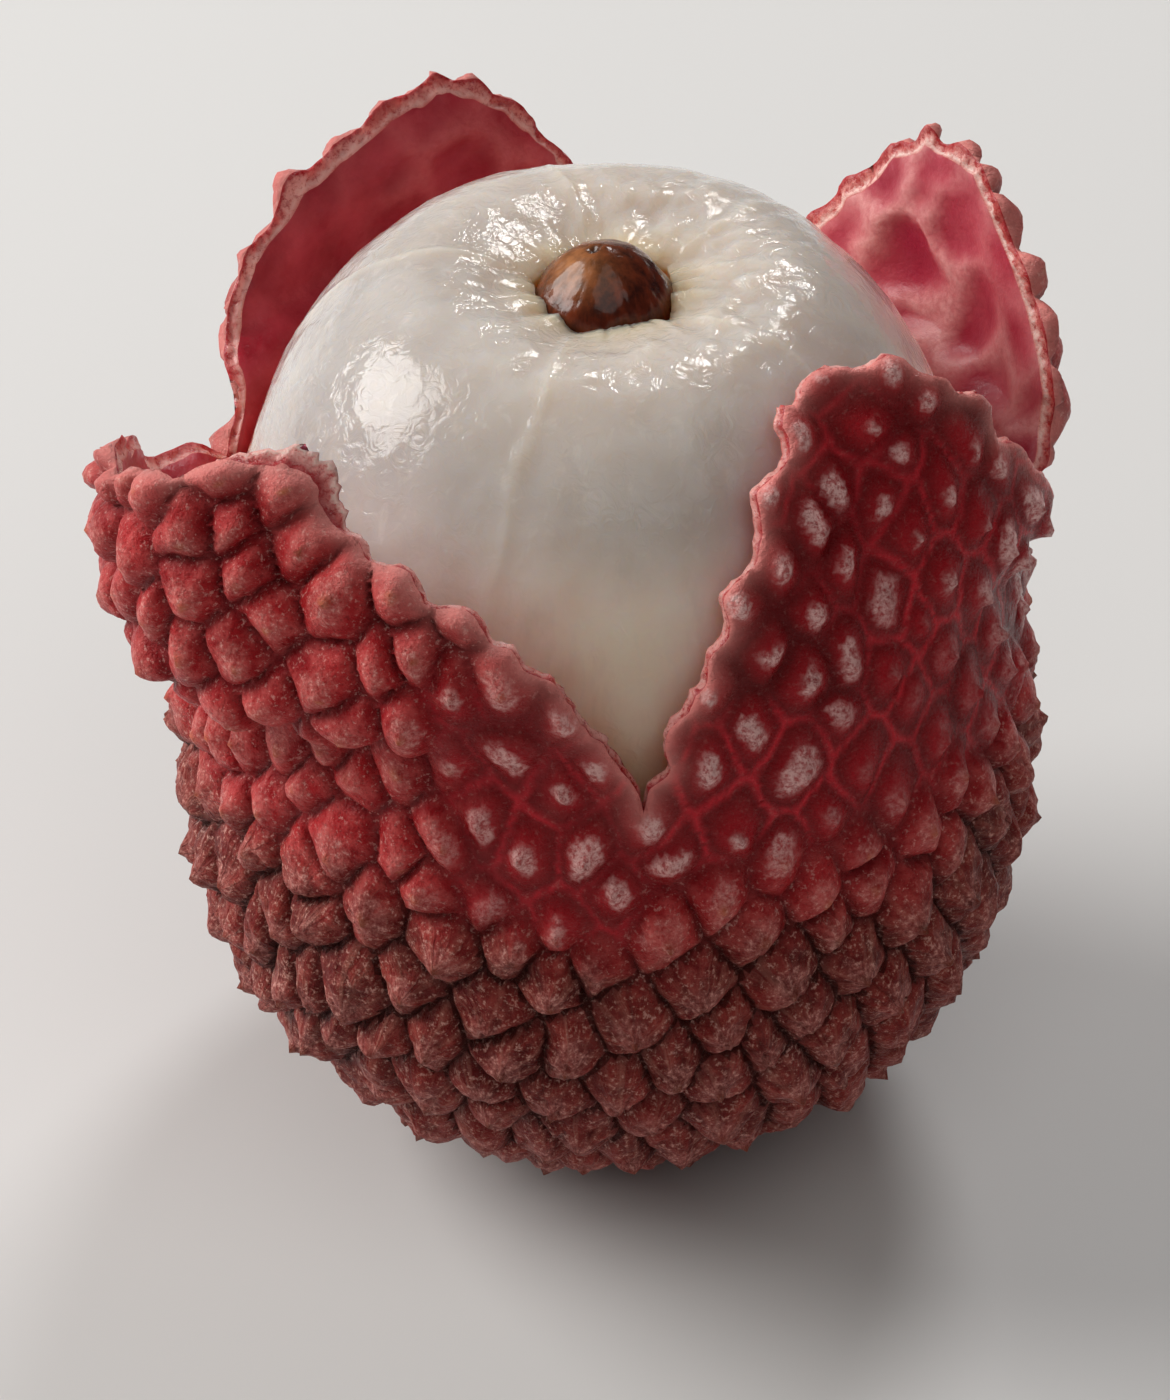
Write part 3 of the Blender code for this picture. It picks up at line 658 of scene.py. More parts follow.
def mesh_object(name, points, faces, face_materials, materials, values):
    """One smooth-shaded mesh object with named values at its points."""
    mesh = bpy.data.meshes.new(name)
    mesh.from_pydata([tuple(p) for p in points], [], faces)
    for material in materials:
        mesh.materials.append(material)
    mesh.polygons.foreach_set("material_index", np.asarray(face_materials, np.int32))
    for label, numbers in values.items():
        numbers = np.asarray(numbers, np.float32)
        kind, field = ("FLOAT_VECTOR", "vector") if numbers.ndim == 2 else ("FLOAT", "value")
        mesh.attributes.new(label, kind, "POINT").data.foreach_set(field, numbers.ravel())
    mesh.shade_smooth()
    mesh.validate()
    made = bpy.data.objects.new(name, mesh)
    bpy.context.scene.collection.objects.link(made)
    return made


def skin_points(spacing, line):
    """Points spread over the skin inside a line on the plane, after the line's own: their azimuths, climbs
    and distances from the line, and the triangles between them."""
    azimuth, climb = spiral_lattice(spacing, 1, SKIN_JITTER)
    flat = plane_point(azimuth, climb)
    keep = inside_outline(flat, line)
    azimuth, climb, flat = azimuth[keep], climb[keep], flat[keep]
    line_azimuth, line_climb = skin_place(line)
    from_line = nearest_distance(closed_point(azimuth, climb), closed_point(line_azimuth, line_climb))
    keep = from_line > CLEAR_SHARE * spacing
    azimuth = np.concatenate([line_azimuth, azimuth[keep]])
    climb = np.concatenate([line_climb, climb[keep]])
    from_line = np.concatenate([np.zeros(len(line)), from_line[keep]])
    return azimuth, climb, from_line, triangulate(np.concatenate([line, flat[keep]]), len(line))


def build_rind(materials):
    """The rind in one closed piece: outer skin, lining and the torn edge between them."""
    bumps = Bumps()
    outer_line, inner_line = fine_outlines(bumps)
    count = len(outer_line)
    azimuth, climb, from_tear, outer_faces = skin_points(SKIN_SPACING * COARSENESS, outer_line)
    above, values = skin_heights(bumps, azimuth, climb, from_tear)
    outer_points = rind_point(azimuth, climb, above)
    wrapped = wrapped_degrees(azimuth[:count])
    pith = PITH_LEAST + (1 - PITH_LEAST) * sum(window(wrapped, *at) for at in PITH_AZIMUTHS)

    azimuth, climb, from_tear, inner_faces = skin_points(LINING_SPACING * COARSENESS, inner_line)
    rib, hollow = hollows(azimuth, climb)
    inland = smooth_step(from_tear / THINNING_REACH)
    waves = relief(closed_point(azimuth, climb), LINING_WAVES, 3, 2.2) - RIB_HEIGHT * (rib - hollow) / 2
    depth = EDGE_THINNING * (1 - inland) - RIND_THICKNESS + waves * inland
    offset, _ = buckle(azimuth, climb)
    inner_points = rind_point(azimuth, climb, depth + LINING_BUCKLE * offset)

    near, far = outer_points[:count], inner_points[:count]
    outwards = unit(np.cross(far - near, np.roll(near, -1, axis=0) - np.roll(near, 1, axis=0)))
    shares = np.arange(1, EDGE_ROWS) / EDGE_ROWS
    rows = []
    for across in shares:
        middle = near + (far - near) * across
        crumbs = relief(middle, CRUMBS, 3, 8.1) + CRUMB_BELLY
        rows.append(middle + outwards * (crumbs * math.sin(math.pi * across))[:, None])
    points = np.concatenate([outer_points, inner_points, *rows])
    sizes = len(outer_points), len(inner_points), len(rows) * count
    first_inner, first_row = sizes[0], sizes[0] + sizes[1]
    faces = [face[::-1] for face in outer_faces] + [[first_inner + c for c in face] for face in inner_faces]
    starts = [0, *range(first_row, len(points), count), first_inner]
    edge_faces = []
    for start, end in zip(starts, starts[1:]):
        for i in range(count):
            after = (i + 1) % count
            edge_faces += [[start + i, start + after, end + after], [start + i, end + after, end + i]]
    face_materials = np.repeat([0, 1, 2], [len(outer_faces), len(inner_faces), len(edge_faces)])

    def joined(*parts):
        """A value of all points, from its values in the outer skin, the lining and the torn edge."""
        return np.concatenate([np.broadcast_to(part, size) for part, size in zip(parts, sizes)])

    for label, numbers in values.items():
        values[label] = np.concatenate([numbers, np.zeros((len(points) - first_inner, *numbers.shape[1:]))])
    values["across"] = joined(0, 1, np.repeat(shares, count))
    values["pith"] = joined(0, 0, np.tile(pith, len(rows)))
    values["rib"] = joined(0, rib, 0)
    values["hollow"] = joined(0, hollow, 0)
    # Paler lining at the back right: partly its own tone, partly painted light; the rest is partly painted
    # shade
    values["pale"] = joined(0, window(wrapped_degrees(azimuth), *PALE_PAINTED_LIGHT_AZIMUTHS), 0)
    return mesh_object("lychee_rind", points, faces + edge_faces, face_materials, materials, values)


def round_faces(rows, columns, bottom, top):
    """Faces of a round body: quads between its rings of points, and a fan to a point at each end."""
    number = np.arange(columns)
    following = (number + 1) % columns
    last = (rows - 1) * columns
    faces = []
    for low in range(0, last, columns):
        corners = [low + number, low + following, low + columns + following, low + columns + number]
        faces += np.stack(corners, axis=1).tolist()
    faces += np.stack([np.full(columns, bottom), following, number], axis=1).tolist()
    faces += np.stack([np.full(columns, top), last + number, last + following], axis=1).tolist()
    return faces


# Shape of the flesh

FLESH_COLUMNS = 400
FLESH_STEP = 0.27 * MM
FLESH_COARSE_STEP = 0.9 * MM
FLESH_FINE_HEIGHT = 18 * MM
NOTCH_RADIUS = 3.1 * MM
LOBE_RADIUS = 2.78 * MM
LOBE_ROUNDNESS = 0.5
FURROW_DEPTH = 0.14 * MM
FURROW_WIDTH = 1.2 * MM
FURROW_REACH = 10.0 * MM
SEAM_HEIGHT = 0.16 * MM
SEAM_WIDTH = 0.36 * MM
SEAM_FADE = 6 * MM
LIP_HEIGHT = 0.5 * MM
LIP_REACH = 1.3 * MM
LIP_DEPTHS = (0.12, 0.3, 0.55, 0.9, 1.6, 2.6)
LIP_OUTS = (0.018, 0.06, 0.096, 0.18, 0.54, 1.2)
LIP_HOLLOW = 0.08 * MM
PUCKER_PLACE = 5 * MM
PUCKER_REACH = 3.2 * MM
PUCKER_AZIMUTH = 10
TOP_HEIGHT = 30 * MM
STREAK_DEPTH = 0.03 * MM
STREAK_LENGTH = 22 * MM
STREAKS_ROUND = 9

# Depth and size of the waves in the seams (degrees), of the broad waves, the crinkles and the puckers
SEAM_WAVES = (5.0, 7 * MM)
BROAD_WAVES = (0.16 * MM, 9 * MM)
CRINKLES = (0.045 * MM, 1.3 * MM)
PUCKERS = (0.26 * MM, 1.5 * MM)

# Where the flesh is coloured warm, greyer or amber. It is warm low down, partly its own tone and partly
# painted warm light bounced from the red rind; it carries painted shade, darker and greyer, at the left and
# on top, and painted light, a brighter, warmer tint, elsewhere; it is amber at its rim. A pair is the height
# where a fade starts and its length
WARM_HEIGHTS = (20 * MM, 16 * MM)
PAINTED_SHADE_SIDE = 13 * MM
PAINTED_SHADE_HEIGHTS = (33 * MM, 5 * MM)
PAINTED_SHADE_ON_TOP = 0.7
RIM_HEIGHTS = (33 * MM, 3 * MM)
RIM_WIDTH = 0.9 * MM


def lobes(azimuth):
    """Round the opening: 0 at a notch to 1 in a lobe's middle, and degrees to the nearest notch."""
    notches = np.array([*NOTCH_AZIMUTHS, NOTCH_AZIMUTHS[0] + 360])
    turned = (np.degrees(azimuth) - notches[0]) % 360 + notches[0]
    lobe = np.clip(np.searchsorted(notches, turned, side="right") - 1, 0, len(notches) - 2)
    across = (turned - notches[lobe]) / (notches[lobe + 1] - notches[lobe])
    apart = np.minimum(turned - notches[lobe], notches[lobe + 1] - turned)
    return np.sin(math.pi * across) ** LOBE_ROUNDNESS, apart


def build_flesh(material):
    """The flesh: a smooth, finely wrinkled body with a dimpled top and a lobed opening."""
    columns = FLESH_COLUMNS // COARSENESS
    azimuth = np.linspace(0, 2 * math.pi, columns, endpoint=False)
    lobe, _ = lobes(azimuth)
    out, up = meridian(FLESH_RADIUS, FLESH_BOTTOM, FLESH_TOP, FLESH_UPPER_POWER)
    up = up - DIMPLE_DEPTH * bell(out, DIMPLE_RADIUS) * (up > WIDEST_HEIGHT)
    length = length_along(out, up)
    upper, lower = slice(MERIDIAN_STEPS // 2, None), slice(MERIDIAN_STEPS * 5 // 8)
    fine_from = np.interp(FLESH_FINE_HEIGHT, up[lower], length[lower])
    rim_length = np.interp(-NOTCH_RADIUS, -out[upper], length[upper])
    rim_at = np.interp(-(NOTCH_RADIUS + (LOBE_RADIUS - NOTCH_RADIUS) * lobe), -out[upper], length[upper])
    coarse = np.arange(FLESH_COARSE_STEP, fine_from, FLESH_COARSE_STEP)
    fine = np.linspace(fine_from, rim_length, round((rim_length - fine_from) / FLESH_STEP))
    rows = np.concatenate([coarse, fine])
    stretch = np.clip((rows - fine_from) / (rim_length - fine_from), 0, 1) ** 3
    at = rows[:, None] + stretch[:, None] * (rim_at - rim_length)
    radius, height = np.interp(at, length, out), np.interp(at, length, up)
    places = round_point(radius, azimuth, height)

    # Raised seams in shallow furrows run down from the notches
    wander = relief(np.stack([0 * rows, 0 * rows, rows], axis=1), SEAM_WAVES, 2, 0.6)
    wander = wander * smooth_step((rim_length - rows) / SEAM_FADE)
    beside = np.radians(lobes(azimuth + np.radians(wander)[:, None])[1]) * radius
    fade = bell(rim_length - rows, FURROW_REACH)[:, None]
    seam = np.exp(-beside / SEAM_WIDTH) * fade**0.5
    furrow = FURROW_DEPTH * bell(beside, FURROW_WIDTH) * fade - SEAM_HEIGHT * seam

    # Broad waves, streaks down the sides, crinkles, and puckers round the opening, stronger at its right
    flat_places = places.reshape(-1, 3)
    around = np.broadcast_to(azimuth, radius.shape).ravel()
    on_top = (height.ravel() > TOP_HEIGHT).astype(float)
    streak_at = round_point(STREAKS_ROUND, around, height.ravel() / STREAK_LENGTH)
    right_side = 0.3 + 0.7 * (0.5 + 0.5 * np.cos(around - math.radians(PUCKER_AZIMUTH)))
    puckered = bell(radius.ravel() - PUCKER_PLACE, PUCKER_REACH) * on_top * right_side
    offset = relief(flat_places, BROAD_WAVES, 2, 1.9)
    offset = offset + STREAK_DEPTH * fractal(streak_at, 1.0, 3, 6.1) * (1 - on_top)
    offset = offset + relief(flat_places, CRINKLES, 3, 4.1) + relief(flat_places, PUCKERS, 3, 8.2) * puckered
    lip = bell(rim_at - at, LIP_REACH) * lobe * (at > rim_length - SEAM_FADE)
    lip = lip * (0.85 + 0.6 * fractal(round_point(3, azimuth, 0), 1.0, 3))
    offset += LIP_HEIGHT * lip.ravel() - furrow.ravel()
    across = np.roll(places, -1, axis=1) - np.roll(places, 1, axis=1)
    normal = unit(np.cross(across, np.gradient(places, axis=0)))
    rings = places + normal * offset.reshape(radius.shape)[..., None]

    # The lip turns over into the hollow that the seed fills
    last = rings[-1]
    last_out = np.hypot(last[:, 0], last[:, 1])
    wall = []
    for depth, outwards in zip(LIP_DEPTHS, LIP_OUTS):
        wall_out = last_out - LIP_HOLLOW * math.sin(math.pi * min(depth, 1)) + outwards * MM
        wall.append(round_point(wall_out, azimuth, last[:, 2] - depth * MM))
    all_rings = np.concatenate([rings, wall])
    points = np.concatenate([all_rings.reshape(-1, 3), [[0, 0, FLESH_BOTTOM], [0, 0, SEED_WIDEST]]])
    faces = round_faces(len(all_rings), columns, len(points) - 2, len(points) - 1)
    heights, radii = points[:, 2], np.hypot(points[:, 0], points[:, 1])
    rim = np.exp(-np.maximum(radii - NOTCH_RADIUS, 0) / RIM_WIDTH)
    # Painted shade: a darker, greyer flesh colour on top and towards the left; the rest gets a brighter,
    # warmer colour as painted light
    painted_shade = PAINTED_SHADE_ON_TOP * rising(heights, *PAINTED_SHADE_HEIGHTS)
    spare = np.zeros(len(points) - len(puckered))
    values = {
        "rim": rim * rising(heights, *RIM_HEIGHTS),
        # The hollow round the seed is coloured amber: partly the seed's brown stain, partly painted glow
        # lightening its shade
        "inside": np.arange(len(points)) >= (len(rings) + 1) * columns,
        # Warm tint low down: partly the flesh's own tone, partly painted warm light bounced from the red rind
        "low": 1 - rising(heights, *WARM_HEIGHTS),
        # Share of painted light: 0 at the left and on top, where the painted shade colour goes instead
        "painted_side_light": smooth_step(points[:, 0] / PAINTED_SHADE_SIDE + 1) * (1 - painted_shade),
        "pucker": np.concatenate([puckered, spare]),
        "seam": np.concatenate([seam.ravel(), spare]),
    }
    return mesh_object("lychee_flesh", points, faces, np.zeros(len(faces)), [material], values)


# Shape of the seed

SEED_COLUMNS = 240
SEED_ROWS = 200
RIDGES_ROUND = 5
RIDGE_LENGTH = 4 * MM
RIDGE_SHARE = 0.016
LUMP_SHARE = 0.05
LUMP_SIZE = 1.8 * MM
LUMP_HEIGHT = 0.06 * MM
SCAR_PLACE = (-0.45 * MM, 0.1 * MM)
SCAR_RADIUS = 0.22 * MM
SCAR_DEPTH = 0.25 * MM
TAN_PLACE = np.array([-1.1, -0.3, 41.2]) * MM
TAN_REACH = np.array([1.3, 1.3, 0.9]) * MM

# Heights where the relief of the tip, its lumps and the scar start, and the length over which they set in
RELIEF_HEIGHTS = (34 * MM, 4 * MM)
LUMP_HEIGHTS = (40 * MM, MM)
SCAR_HEIGHTS = (41 * MM, 0.5 * MM)


def seed_radius(height):
    """The seed's radius at heights: an oval body that narrows to a blunt conical tip."""
    low = np.clip((SEED_WIDEST - height) / (SEED_WIDEST - SEED_BOTTOM), 0, 1)
    body = SEED_RADIUS * np.sqrt(1 - low**2)
    rise = np.clip((height - SEED_WIDEST) / (SEED_NECK_HEIGHT - SEED_WIDEST), 0, 1)
    neck = SEED_NECK_RADIUS + (SEED_RADIUS - SEED_NECK_RADIUS) * np.cos(rise * math.pi / 2) ** SEED_NECK_POWER
    along = np.clip((height - SEED_NECK_HEIGHT) / (SEED_TOP - SEED_NECK_HEIGHT), 0, 1)
    tip = SEED_NECK_RADIUS * (1 - along ** SEED_TIP_POWERS[0]) ** SEED_TIP_POWERS[1]
    return np.where(height < SEED_WIDEST, body, np.where(height > SEED_NECK_HEIGHT, tip, neck))


def build_seed(material):
    """The seed: glossy, with fine ridges down its tip and a scar on top."""
    azimuth = np.linspace(0, 2 * math.pi, SEED_COLUMNS, endpoint=False)
    share = (1 - np.cos(np.linspace(0, math.pi, SEED_ROWS + 2)[1:-1])) / 2
    up = (SEED_BOTTOM + (SEED_TOP - SEED_BOTTOM) * share**0.8)[:, None]
    out = seed_radius(up)
    shape = (SEED_ROWS, SEED_COLUMNS)
    ridge_at = round_point(RIDGES_ROUND, azimuth, up / RIDGE_LENGTH).reshape(-1, 3)
    ridges = fractal(ridge_at, 1.0, 3, 3.3).reshape(shape)
    lumps = fractal(round_point(out, azimuth, up).reshape(-1, 3), LUMP_SIZE, 3, 5.1).reshape(shape)
    out = out * (1 + rising(up, *RELIEF_HEIGHTS) * (RIDGE_SHARE * ridges + LUMP_SHARE * lumps))
    up = up + LUMP_HEIGHT * lumps * rising(up, *LUMP_HEIGHTS)
    places = round_point(out, azimuth, up)
    pit = bell(np.hypot(places[..., 0] - SCAR_PLACE[0], places[..., 1] - SCAR_PLACE[1]), SCAR_RADIUS)
    pit *= rising(up, *SCAR_HEIGHTS)
    places[..., 2] -= SCAR_DEPTH * pit
    points = np.concatenate([places.reshape(-1, 3), [[0, 0, SEED_BOTTOM], [0, 0, SEED_TOP]]])
    faces = round_faces(SEED_ROWS, SEED_COLUMNS, len(points) - 2, len(points) - 1)
    tan = np.exp(-(((points - TAN_PLACE) / TAN_REACH) ** 2).sum(axis=1))
    values = {"tan": tan, "pit": np.concatenate([pit.ravel(), [0, 0]])}
    return mesh_object("lychee_seed", points, faces, np.zeros(len(faces)), [material], values)


# Materials


class Shader:
    """A node material with short ways to add nodes and join them."""

    def __init__(self, name, **sockets):
        self.material = bpy.data.materials.new(name)
        self.material.use_nodes = True
        self.tree = self.material.node_tree
        self.surface = self.tree.nodes["Principled BSDF"]
        self.place = self.add("ShaderNodeTexCoord").outputs["Object"]
        self.join(**sockets)

    def add(self, kind, sockets=(), **settings):
        made = self.tree.nodes.new(kind)
        for label, value in settings.items():
            setattr(made, label, value)
        for socket, value in dict(sockets).items():
            self.feed(made.inputs[socket], value)
        return made

    def feed(self, socket, value):
        """Joins a socket to another, or sets it to a number, a vector or a colour."""
        if isinstance(value, bpy.types.NodeSocket):
            self.tree.links.new(value, socket)
        else:
            socket.default_value = (*value, 1) if socket.type == "RGBA" else value

    def join(self, **sockets):
        """Feeds the surface, and gives back the material."""
        for label, value in sockets.items():
            self.feed(self.surface.inputs[label.replace("_", " ")], value)
        return self.material

    def values(self, *names):
        """Named values of the mesh."""
        return [self.add("ShaderNodeAttribute", attribute_name=name).outputs["Fac"] for name in names]

    def maths(self, operation, first, second):
        """A sum or product, kept within 0 to 1."""
        made = self.add("ShaderNodeMath", {0: first, 1: second}, operation=operation, use_clamp=True)
        return made.outputs[0]

    def times(self, first, second):
        return self.maths("MULTIPLY", first, second)

    def mix(self, share, under, over):
        """Colour over on colour under, by a share."""
        return self.add("ShaderNodeMix", {0: share, 6: under, 7: over}, data_type="RGBA").outputs[2]

    def layers(self, colour, *shares_and_colours):
        """A colour with others laid over it in turn, each by its share."""
        for share, over in shares_and_colours:
            colour = self.mix(share, colour, over)
        return colour

    def noise(self, size, detail, roughness=0.55, stretch=(1, 1, 1), distortion=0.0, place=None):
        """Noise with features of a size in metres, or in a place's own units, 0 to 1."""
        place = self.add("ShaderNodeMapping", {"Vector": place or self.place, "Scale": stretch}).outputs[0]
        sockets = {"Vector": place, "Scale": 1 / size, "Detail": detail, "Roughness": roughness,
                   "Distortion": distortion}
        return self.add("ShaderNodeTexNoise", sockets).outputs[0]

    def remap(self, value, low, high, new_low=0.0, new_high=1.0):
        sockets = {0: value, 1: low, 2: high, 3: new_low, 4: new_high}
        return self.add("ShaderNodeMapRange", sockets, clamp=True).outputs[0]

    def bump(self, height, distance, strength=1.0, normal=None):
        sockets = {"Height": height, "Distance": distance, "Strength": strength}
        if normal is not None:
            sockets["Normal"] = normal
        return self.add("ShaderNodeBump", sockets).outputs[0]


def skin_material():
    """Outer skin: frosted raspberry flaps, a dry mauve-brown cup, tan tips and sparkling grain, with painted
    light and
    shade: the creases between bumps, the dry cup's wrinkles and the frosted flanks are painted darker as
    shade; the pale crowns are partly frost and partly painted highlight, the brighter red net partly its own
    red and partly painted glow, and the pale specks partly crystals and partly painted glints.
    """
    s = Shader("rind_skin", Specular_IOR_Level=0.1, Coat_Weight=0.05, Coat_Roughness=0.15)
    tip, crown, rise, groove_shade, net = s.values("tip", "crown", "rise", "groove_shade", "net")
    tear, cup, frosted, fold, wet = s.values("tear", "cup", "frosted", "fold", "wet")
    patches = s.noise(3.2 * MM, 4)
    mottle = s.noise(0.8 * MM, 4, 0.65)
    grain = s.noise(0.17 * MM, 3, 0.7)
    salt = s.noise(0.24 * MM, 2, 0.8)
    ray = s.add("ShaderNodeAttribute", attribute_name="ray").outputs["Vector"]
    rays = s.noise(1 / 4.2, 4, 0.6, stretch=(1, 1, 10), place=ray)
    flap = s.mix(s.remap(patches, 0.35, 0.65), (0.28, 0.003, 0.006), (0.48, 0.016, 0.02))
    flap = s.mix(s.remap(mottle, 0.42, 0.68, 0, 0.6), flap, (0.68, 0.125, 0.115))
    dry = s.layers(
        s.mix(s.remap(patches, 0.35, 0.68), (0.12, 0.004, 0.004), (0.27, 0.018, 0.014)),
        (s.remap(mottle, 0.42, 0.72, 0, 0.5), (0.44, 0.09, 0.07)),
        (s.remap(rays, 0.52, 0.68, 0, 0.35), (0.55, 0.23, 0.17)),
        # Pale specks on the cup: partly crystals, partly painted glints
        (s.remap(salt, 0.5, 0.66, 0, 0.45), (0.56, 0.25, 0.18)),
        (s.remap(rays, 0.3, 0.44, 0.4, 0), (0.08, 0.01, 0.008)),
    )
    # Painted shade: the frosted flanks are coloured deep, darkest at the foot of each bump
    flank = s.mix(s.remap(rise, 0.1, 0.5), (0.11, 0.001, 0.002), (0.36, 0.006, 0.013))
    # Pale crowns on the bumps' tops: partly frost, partly painted highlight
    frost = s.times(s.times(crown, s.remap(frosted, 0, 1, 0.42, 1)), s.remap(salt, 0.36, 0.6, 0.15, 0.9))
    tipped = s.times(s.times(tip, s.remap(mottle, 0.3, 0.6, 0.3, 0.85)), s.remap(frosted, 0, 1, 1, 0))
    # Pale specks: partly frost crystals, partly painted glints
    specks = s.times(s.remap(salt, 0.58, 0.7, 0, 0.38), s.remap(frosted, 0, 1, 1, 0.2))
    # Painted shade in the creases between the bumps
    painted_groove_shade = s.mix(cup, (0.12, 0.003, 0.006), (0.045, 0.008, 0.006))
    colour = s.layers(
        s.mix(cup, flap, dry),
        (s.remap(grain, 0.3, 0.46, 0.6, 0), (0.17, 0.006, 0.008)),
        (s.times(frosted, s.remap(crown, 0, 1, 0.92, 0.5)), flank),
        (s.times(groove_shade, s.remap(frosted, 0, 1, 0.75, 0.3)), painted_groove_shade),
        # Brighter red net lines: partly their own saturated red, partly painted glow of light shining through
        # the thin skin
        (s.times(net, 0.95), (0.62, 0.022, 0.035)),
        (s.times(tear, 0.9), (0.8, 0.28, 0.25)),
        # Painted shade in the troughs of the dry cup's wrinkles
        (s.times(fold, 0.6), (0.06, 0.01, 0.008)),
        (frost, s.mix(frosted, (0.78, 0.3, 0.26), (0.9, 0.56, 0.53))),
        (tipped, s.mix(cup, (0.52, 0.17, 0.06), (0.3, 0.07, 0.025))),
        (specks, (0.88, 0.5, 0.44)),
    )
    rough = s.times(s.remap(grain, 0.35, 0.7, 0.52, 0.26), s.remap(wet, 0, 1, 1, 0.45))
    rough = s.times(rough, s.remap(frosted, 0, 1, 1, 0.7))
    normal = s.bump(grain, 0.1 * MM, 0.9)
    normal = s.bump(mottle, 0.22 * MM, 0.7, normal)
    normal = s.bump(rays, 0.2 * MM, s.remap(cup, 0, 1, 0.15, 0.9), normal)
    return s.join(Base_Color=colour, Roughness=rough, Normal=normal, Coat_Normal=normal)


def lining_material():
    """Lining: crimson membrane, paler at the back right, with whitish ribs round its hollows. The paler back
    right is partly its own tone and partly painted light on the lit side, the deeper crimson elsewhere partly
    painted shade.
    """
    s = Shader("rind_lining", Specular_IOR_Level=0.3, Subsurface_Weight=0.15, Subsurface_Scale=0.6 * MM,
               Subsurface_Radius=(1.0, 0.35, 0.3))
    rib, hollow, pale = s.values("rib", "hollow", "pale")
    cloud = s.remap(s.noise(2.6 * MM, 4), 0.35, 0.65)
    fine = s.noise(0.35 * MM, 4, 0.65)
    # Deeper and paler crimson: partly the lining's own tones, partly painted shade at the back left and
    # painted light at the back right
    deep = s.mix(cloud, (0.3, 0.005, 0.016), (0.5, 0.04, 0.06))
    light = s.mix(cloud, (0.42, 0.02, 0.05), (0.58, 0.1, 0.13))
    colour = s.layers(
        s.mix(pale, deep, light),
        (s.times(hollow, s.remap(pale, 0, 1, 0.3, 0.75)), (0.27, 0.002, 0.03)),
        (s.times(rib, s.remap(fine, 0.3, 0.6, 0.45, 0.9)), s.mix(pale, (0.55, 0.1, 0.11), (0.82, 0.42, 0.4))),
    )
    rough = s.remap(fine, 0.35, 0.7, 0.28, 0.5)
    return s.join(Base_Color=colour, Roughness=rough, Normal=s.bump(fine, 0.08 * MM, 0.6))


def edge_material():
    """Torn edge: red like the skin at its outer side, and pale, moist crumbs of pith towards the lining."""
    s = Shader("rind_edge", Specular_IOR_Level=0.5, Subsurface_Weight=0.3, Subsurface_Scale=0.5 * MM,
               Subsurface_Radius=(1.0, 0.45, 0.4))
    across, pith = s.values("across", "pith")
    crumbs = s.noise(0.28 * MM, 4, 0.65)
    body = s.mix(s.remap(s.noise(1.4 * MM, 3), 0.4, 0.6), (0.56, 0.1, 0.09), (0.74, 0.3, 0.27))
    body = s.mix(s.remap(crumbs, 0.3, 0.45, 0.8, 0), body, (0.4, 0.03, 0.035))
    ragged = s.maths("ADD", across, s.remap(crumbs, 0.3, 0.7, -0.25, 0.25))
    colour = s.mix(s.remap(ragged, 0.1, 0.45), (0.4, 0.02, 0.025), body)
    colour = s.mix(s.times(s.remap(ragged, 0.5, 0.85), pith), colour, (0.88, 0.6, 0.54))
    rough = s.remap(crumbs, 0.35, 0.65, 0.2, 0.45)
    return s.join(Base_Color=colour, Roughness=rough, Normal=s.bump(crumbs, 0.12 * MM, 0.8))


def flesh_material():
    """Flesh: cloudy white and translucent under a wet, finely wrinkled skin. Painted shade makes it darker
    and greyer on top and towards the left, painted light brighter and warmer elsewhere; it is warm low down,
    partly its own tone and partly painted warm light bounced from the red rind, and amber at its opening, in
    its hollow partly the seed's brown stain and partly painted glow.
    """
    s = Shader("flesh", Specular_IOR_Level=0.2, IOR=1.38, Subsurface_Weight=1.0, Subsurface_Scale=4 * MM,
               Subsurface_Radius=(1.0, 0.72, 0.5), Coat_Weight=0.6, Coat_Roughness=0.03, Coat_IOR=1.4)
    rim, inside, low, painted_side_light, pucker, seam = s.values("rim", "inside", "low", "painted_side_light", "pucker", "seam")
    cloud = s.remap(s.noise(5 * MM, 4), 0.35, 0.65)
    streaks = s.noise(1.3 * MM, 4, 0.6, stretch=(1, 1, 0.1))
    veins = s.noise(0.7 * MM, 4, 0.6, stretch=(1, 1, 0.16), distortion=0.6)
    wrinkles = s.noise(0.8 * MM, 3, 0.5, distortion=1.8)
    pits = s.noise(0.28 * MM, 3, 0.6)
    # Painted shade, a darker grey for the top and the left, and painted light, a brighter, warmer flesh
    # colour for the rest
    painted_shade = s.mix(cloud, (0.44, 0.41, 0.395), (0.52, 0.495, 0.48))
    painted_lit_flesh = s.mix(cloud, (0.96, 0.78, 0.64), (0.99, 0.86, 0.74))
    colour = s.layers(
        s.mix(painted_side_light, painted_shade, painted_lit_flesh),
        (s.remap(streaks, 0.5, 0.72, 0, 0.3), (0.6, 0.52, 0.44)),
        (s.remap(veins, 0.58, 0.74, 0, 0.3), (0.8, 0.76, 0.7)),
        # Warm tint low down: partly the flesh's own tone, partly painted warm light bounced from the red rind
        (low, (0.97, 0.4, 0.09)),
        (s.times(seam, 0.25), (0.84, 0.75, 0.62)),
        (s.times(rim, 0.7), (0.74, 0.5, 0.28)),
        # Amber in the hollow round the seed: partly the seed's brown stain, partly painted glow
        (s.times(inside, 0.85), (0.66, 0.36, 0.15)),
    )
    rough = s.remap(wrinkles, 0.4, 0.7, 0.09, 0.2)
    normal = s.bump(wrinkles, 0.08 * MM, s.remap(pucker, 0, 0.6, 0.6, 1))
    normal = s.bump(pits, 0.012 * MM, 0.5, normal)
    normal = s.bump(streaks, 0.05 * MM, 0.15, normal)
    return s.join(Base_Color=colour, Roughness=rough, Normal=normal, Coat_Normal=normal)


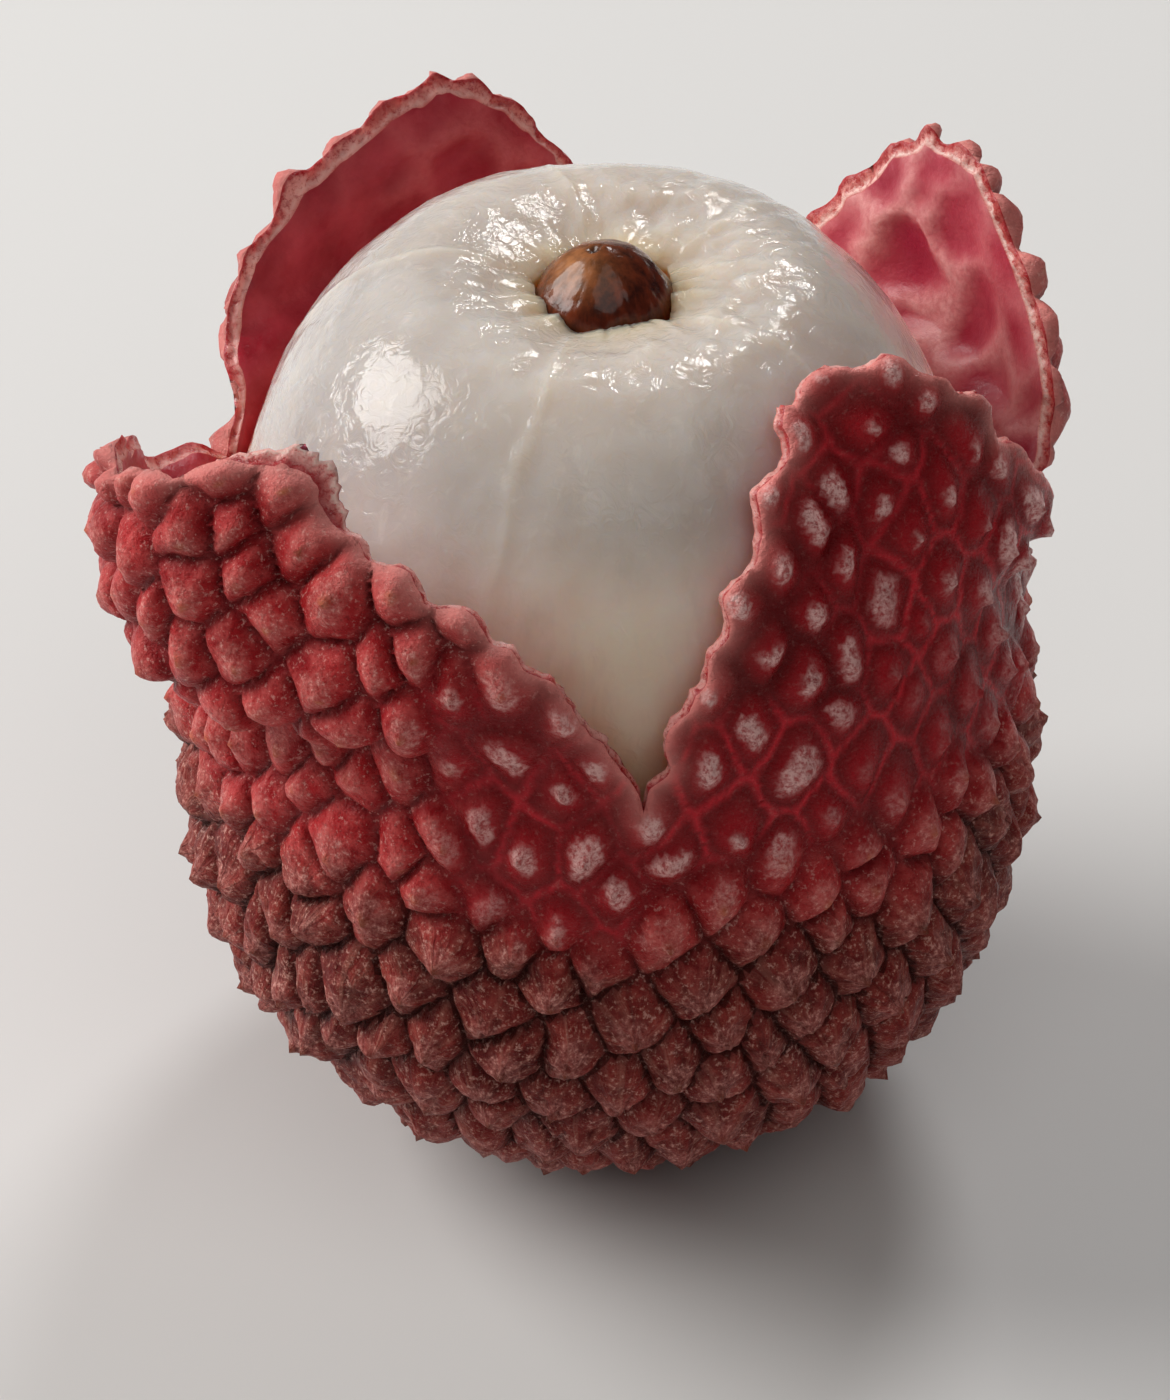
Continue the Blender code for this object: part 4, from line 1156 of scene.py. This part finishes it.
def seed_material():
    """Seed: glossy red-brown with a dull tan patch near its tip."""
    s = Shader("seed", Specular_IOR_Level=0.15, Coat_Weight=0.35, Coat_Roughness=0.06)
    tan, pit = s.values("tan", "pit")
    streaks = s.noise(0.5 * MM, 4, 0.6, stretch=(1, 1, 0.25))
    fine = s.noise(0.16 * MM, 3, 0.6)
    colour = s.layers(
        s.mix(s.remap(streaks, 0.35, 0.65), (0.035, 0.005, 0.003), (0.14, 0.021, 0.007)),
        (s.times(tan, s.remap(streaks, 0.3, 0.6, 0.5, 1.0)), (0.44, 0.18, 0.065)),
        (pit, (0.02, 0.005, 0.003)),
    )
    rough = s.maths("ADD", s.remap(fine, 0.3, 0.7, 0.12, 0.22), s.times(tan, 0.25))
    normal = s.bump(streaks, 0.1 * MM, 0.5, s.bump(fine, 0.03 * MM, 0.35))
    return s.join(Base_Color=colour, Roughness=rough, Normal=normal)


# Studio: floor, light and camera

FLOOR_HALF = 2.0
WORLD_COLOUR = (0.8, 0.81, 0.83, 1)
WORLD_STRENGTH = 0.08


def build_floor():
    """A plain pale floor under the fruit."""
    material = Shader("floor", Base_Color=(0.72, 0.71, 0.7), Roughness=0.7).material
    corners = [(x * FLOOR_HALF, y * FLOOR_HALF, 0) for x, y in ((-1, -1), (1, -1), (1, 1), (-1, 1))]
    floor = mesh_object("floor", corners, [(0, 1, 2, 3)], [0], [material], {})


def add_object(name, data, place, facing):
    """A light or a camera at a place, turned in a direction."""
    made = bpy.data.objects.new(name, data)
    made.location = place
    made.rotation_euler = facing.to_track_quat("-Z", "Y").to_euler()
    bpy.context.scene.collection.objects.link(made)
    return made


def add_light(name, place, size, power, colour):
    """A round soft light that faces the fruit."""
    data = bpy.data.lights.new(name, "AREA")
    data.shape = "DISK"
    data.size = size
    data.energy = power
    data.color = colour
    add_object(name, data, place, CAMERA_TARGET - Vector(place))


def build_studio():
    """A key light from the left, a broad weak fill from above the front, one from behind for the glints
    round the opening, and a pale surrounding."""
    add_light("key", (-0.42, 0.1, 0.28), 0.36, 2.8, (1, 0.985, 0.96))
    add_light("fill", (0.1, -0.28, 0.5), 0.5, 0.7, (1, 0.97, 0.93))
    add_light("back", (0.13, 0.36, 0.41), 0.15, 1.0, (1, 1, 1))
    world = bpy.data.worlds.new("studio")
    world.use_nodes = True
    background = world.node_tree.nodes["Background"]
    background.inputs["Color"].default_value = WORLD_COLOUR
    background.inputs["Strength"].default_value = WORLD_STRENGTH
    bpy.context.scene.world = world
    bpy.context.scene.view_settings.view_transform = "Standard"


def build_camera():
    elevation = math.radians(CAMERA_ELEVATION)
    back = Vector((0, -math.cos(elevation), math.sin(elevation)))
    data = bpy.data.cameras.new("camera")
    data.sensor_width = 36
    data.lens = CAMERA_LENS
    data.clip_start = 0.01
    place = CAMERA_TARGET + back * CAMERA_DISTANCE
    bpy.context.scene.camera = add_object("camera", data, place, -back)


build_floor()
build_studio()
build_camera()
pieces = {
    "rind": build_rind([skin_material(), lining_material(), edge_material()]),
    "flesh": build_flesh(flesh_material()),
    "seed": build_seed(seed_material()),
}
for node, piece in pieces.items():
    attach(piece, "root")
    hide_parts(node)
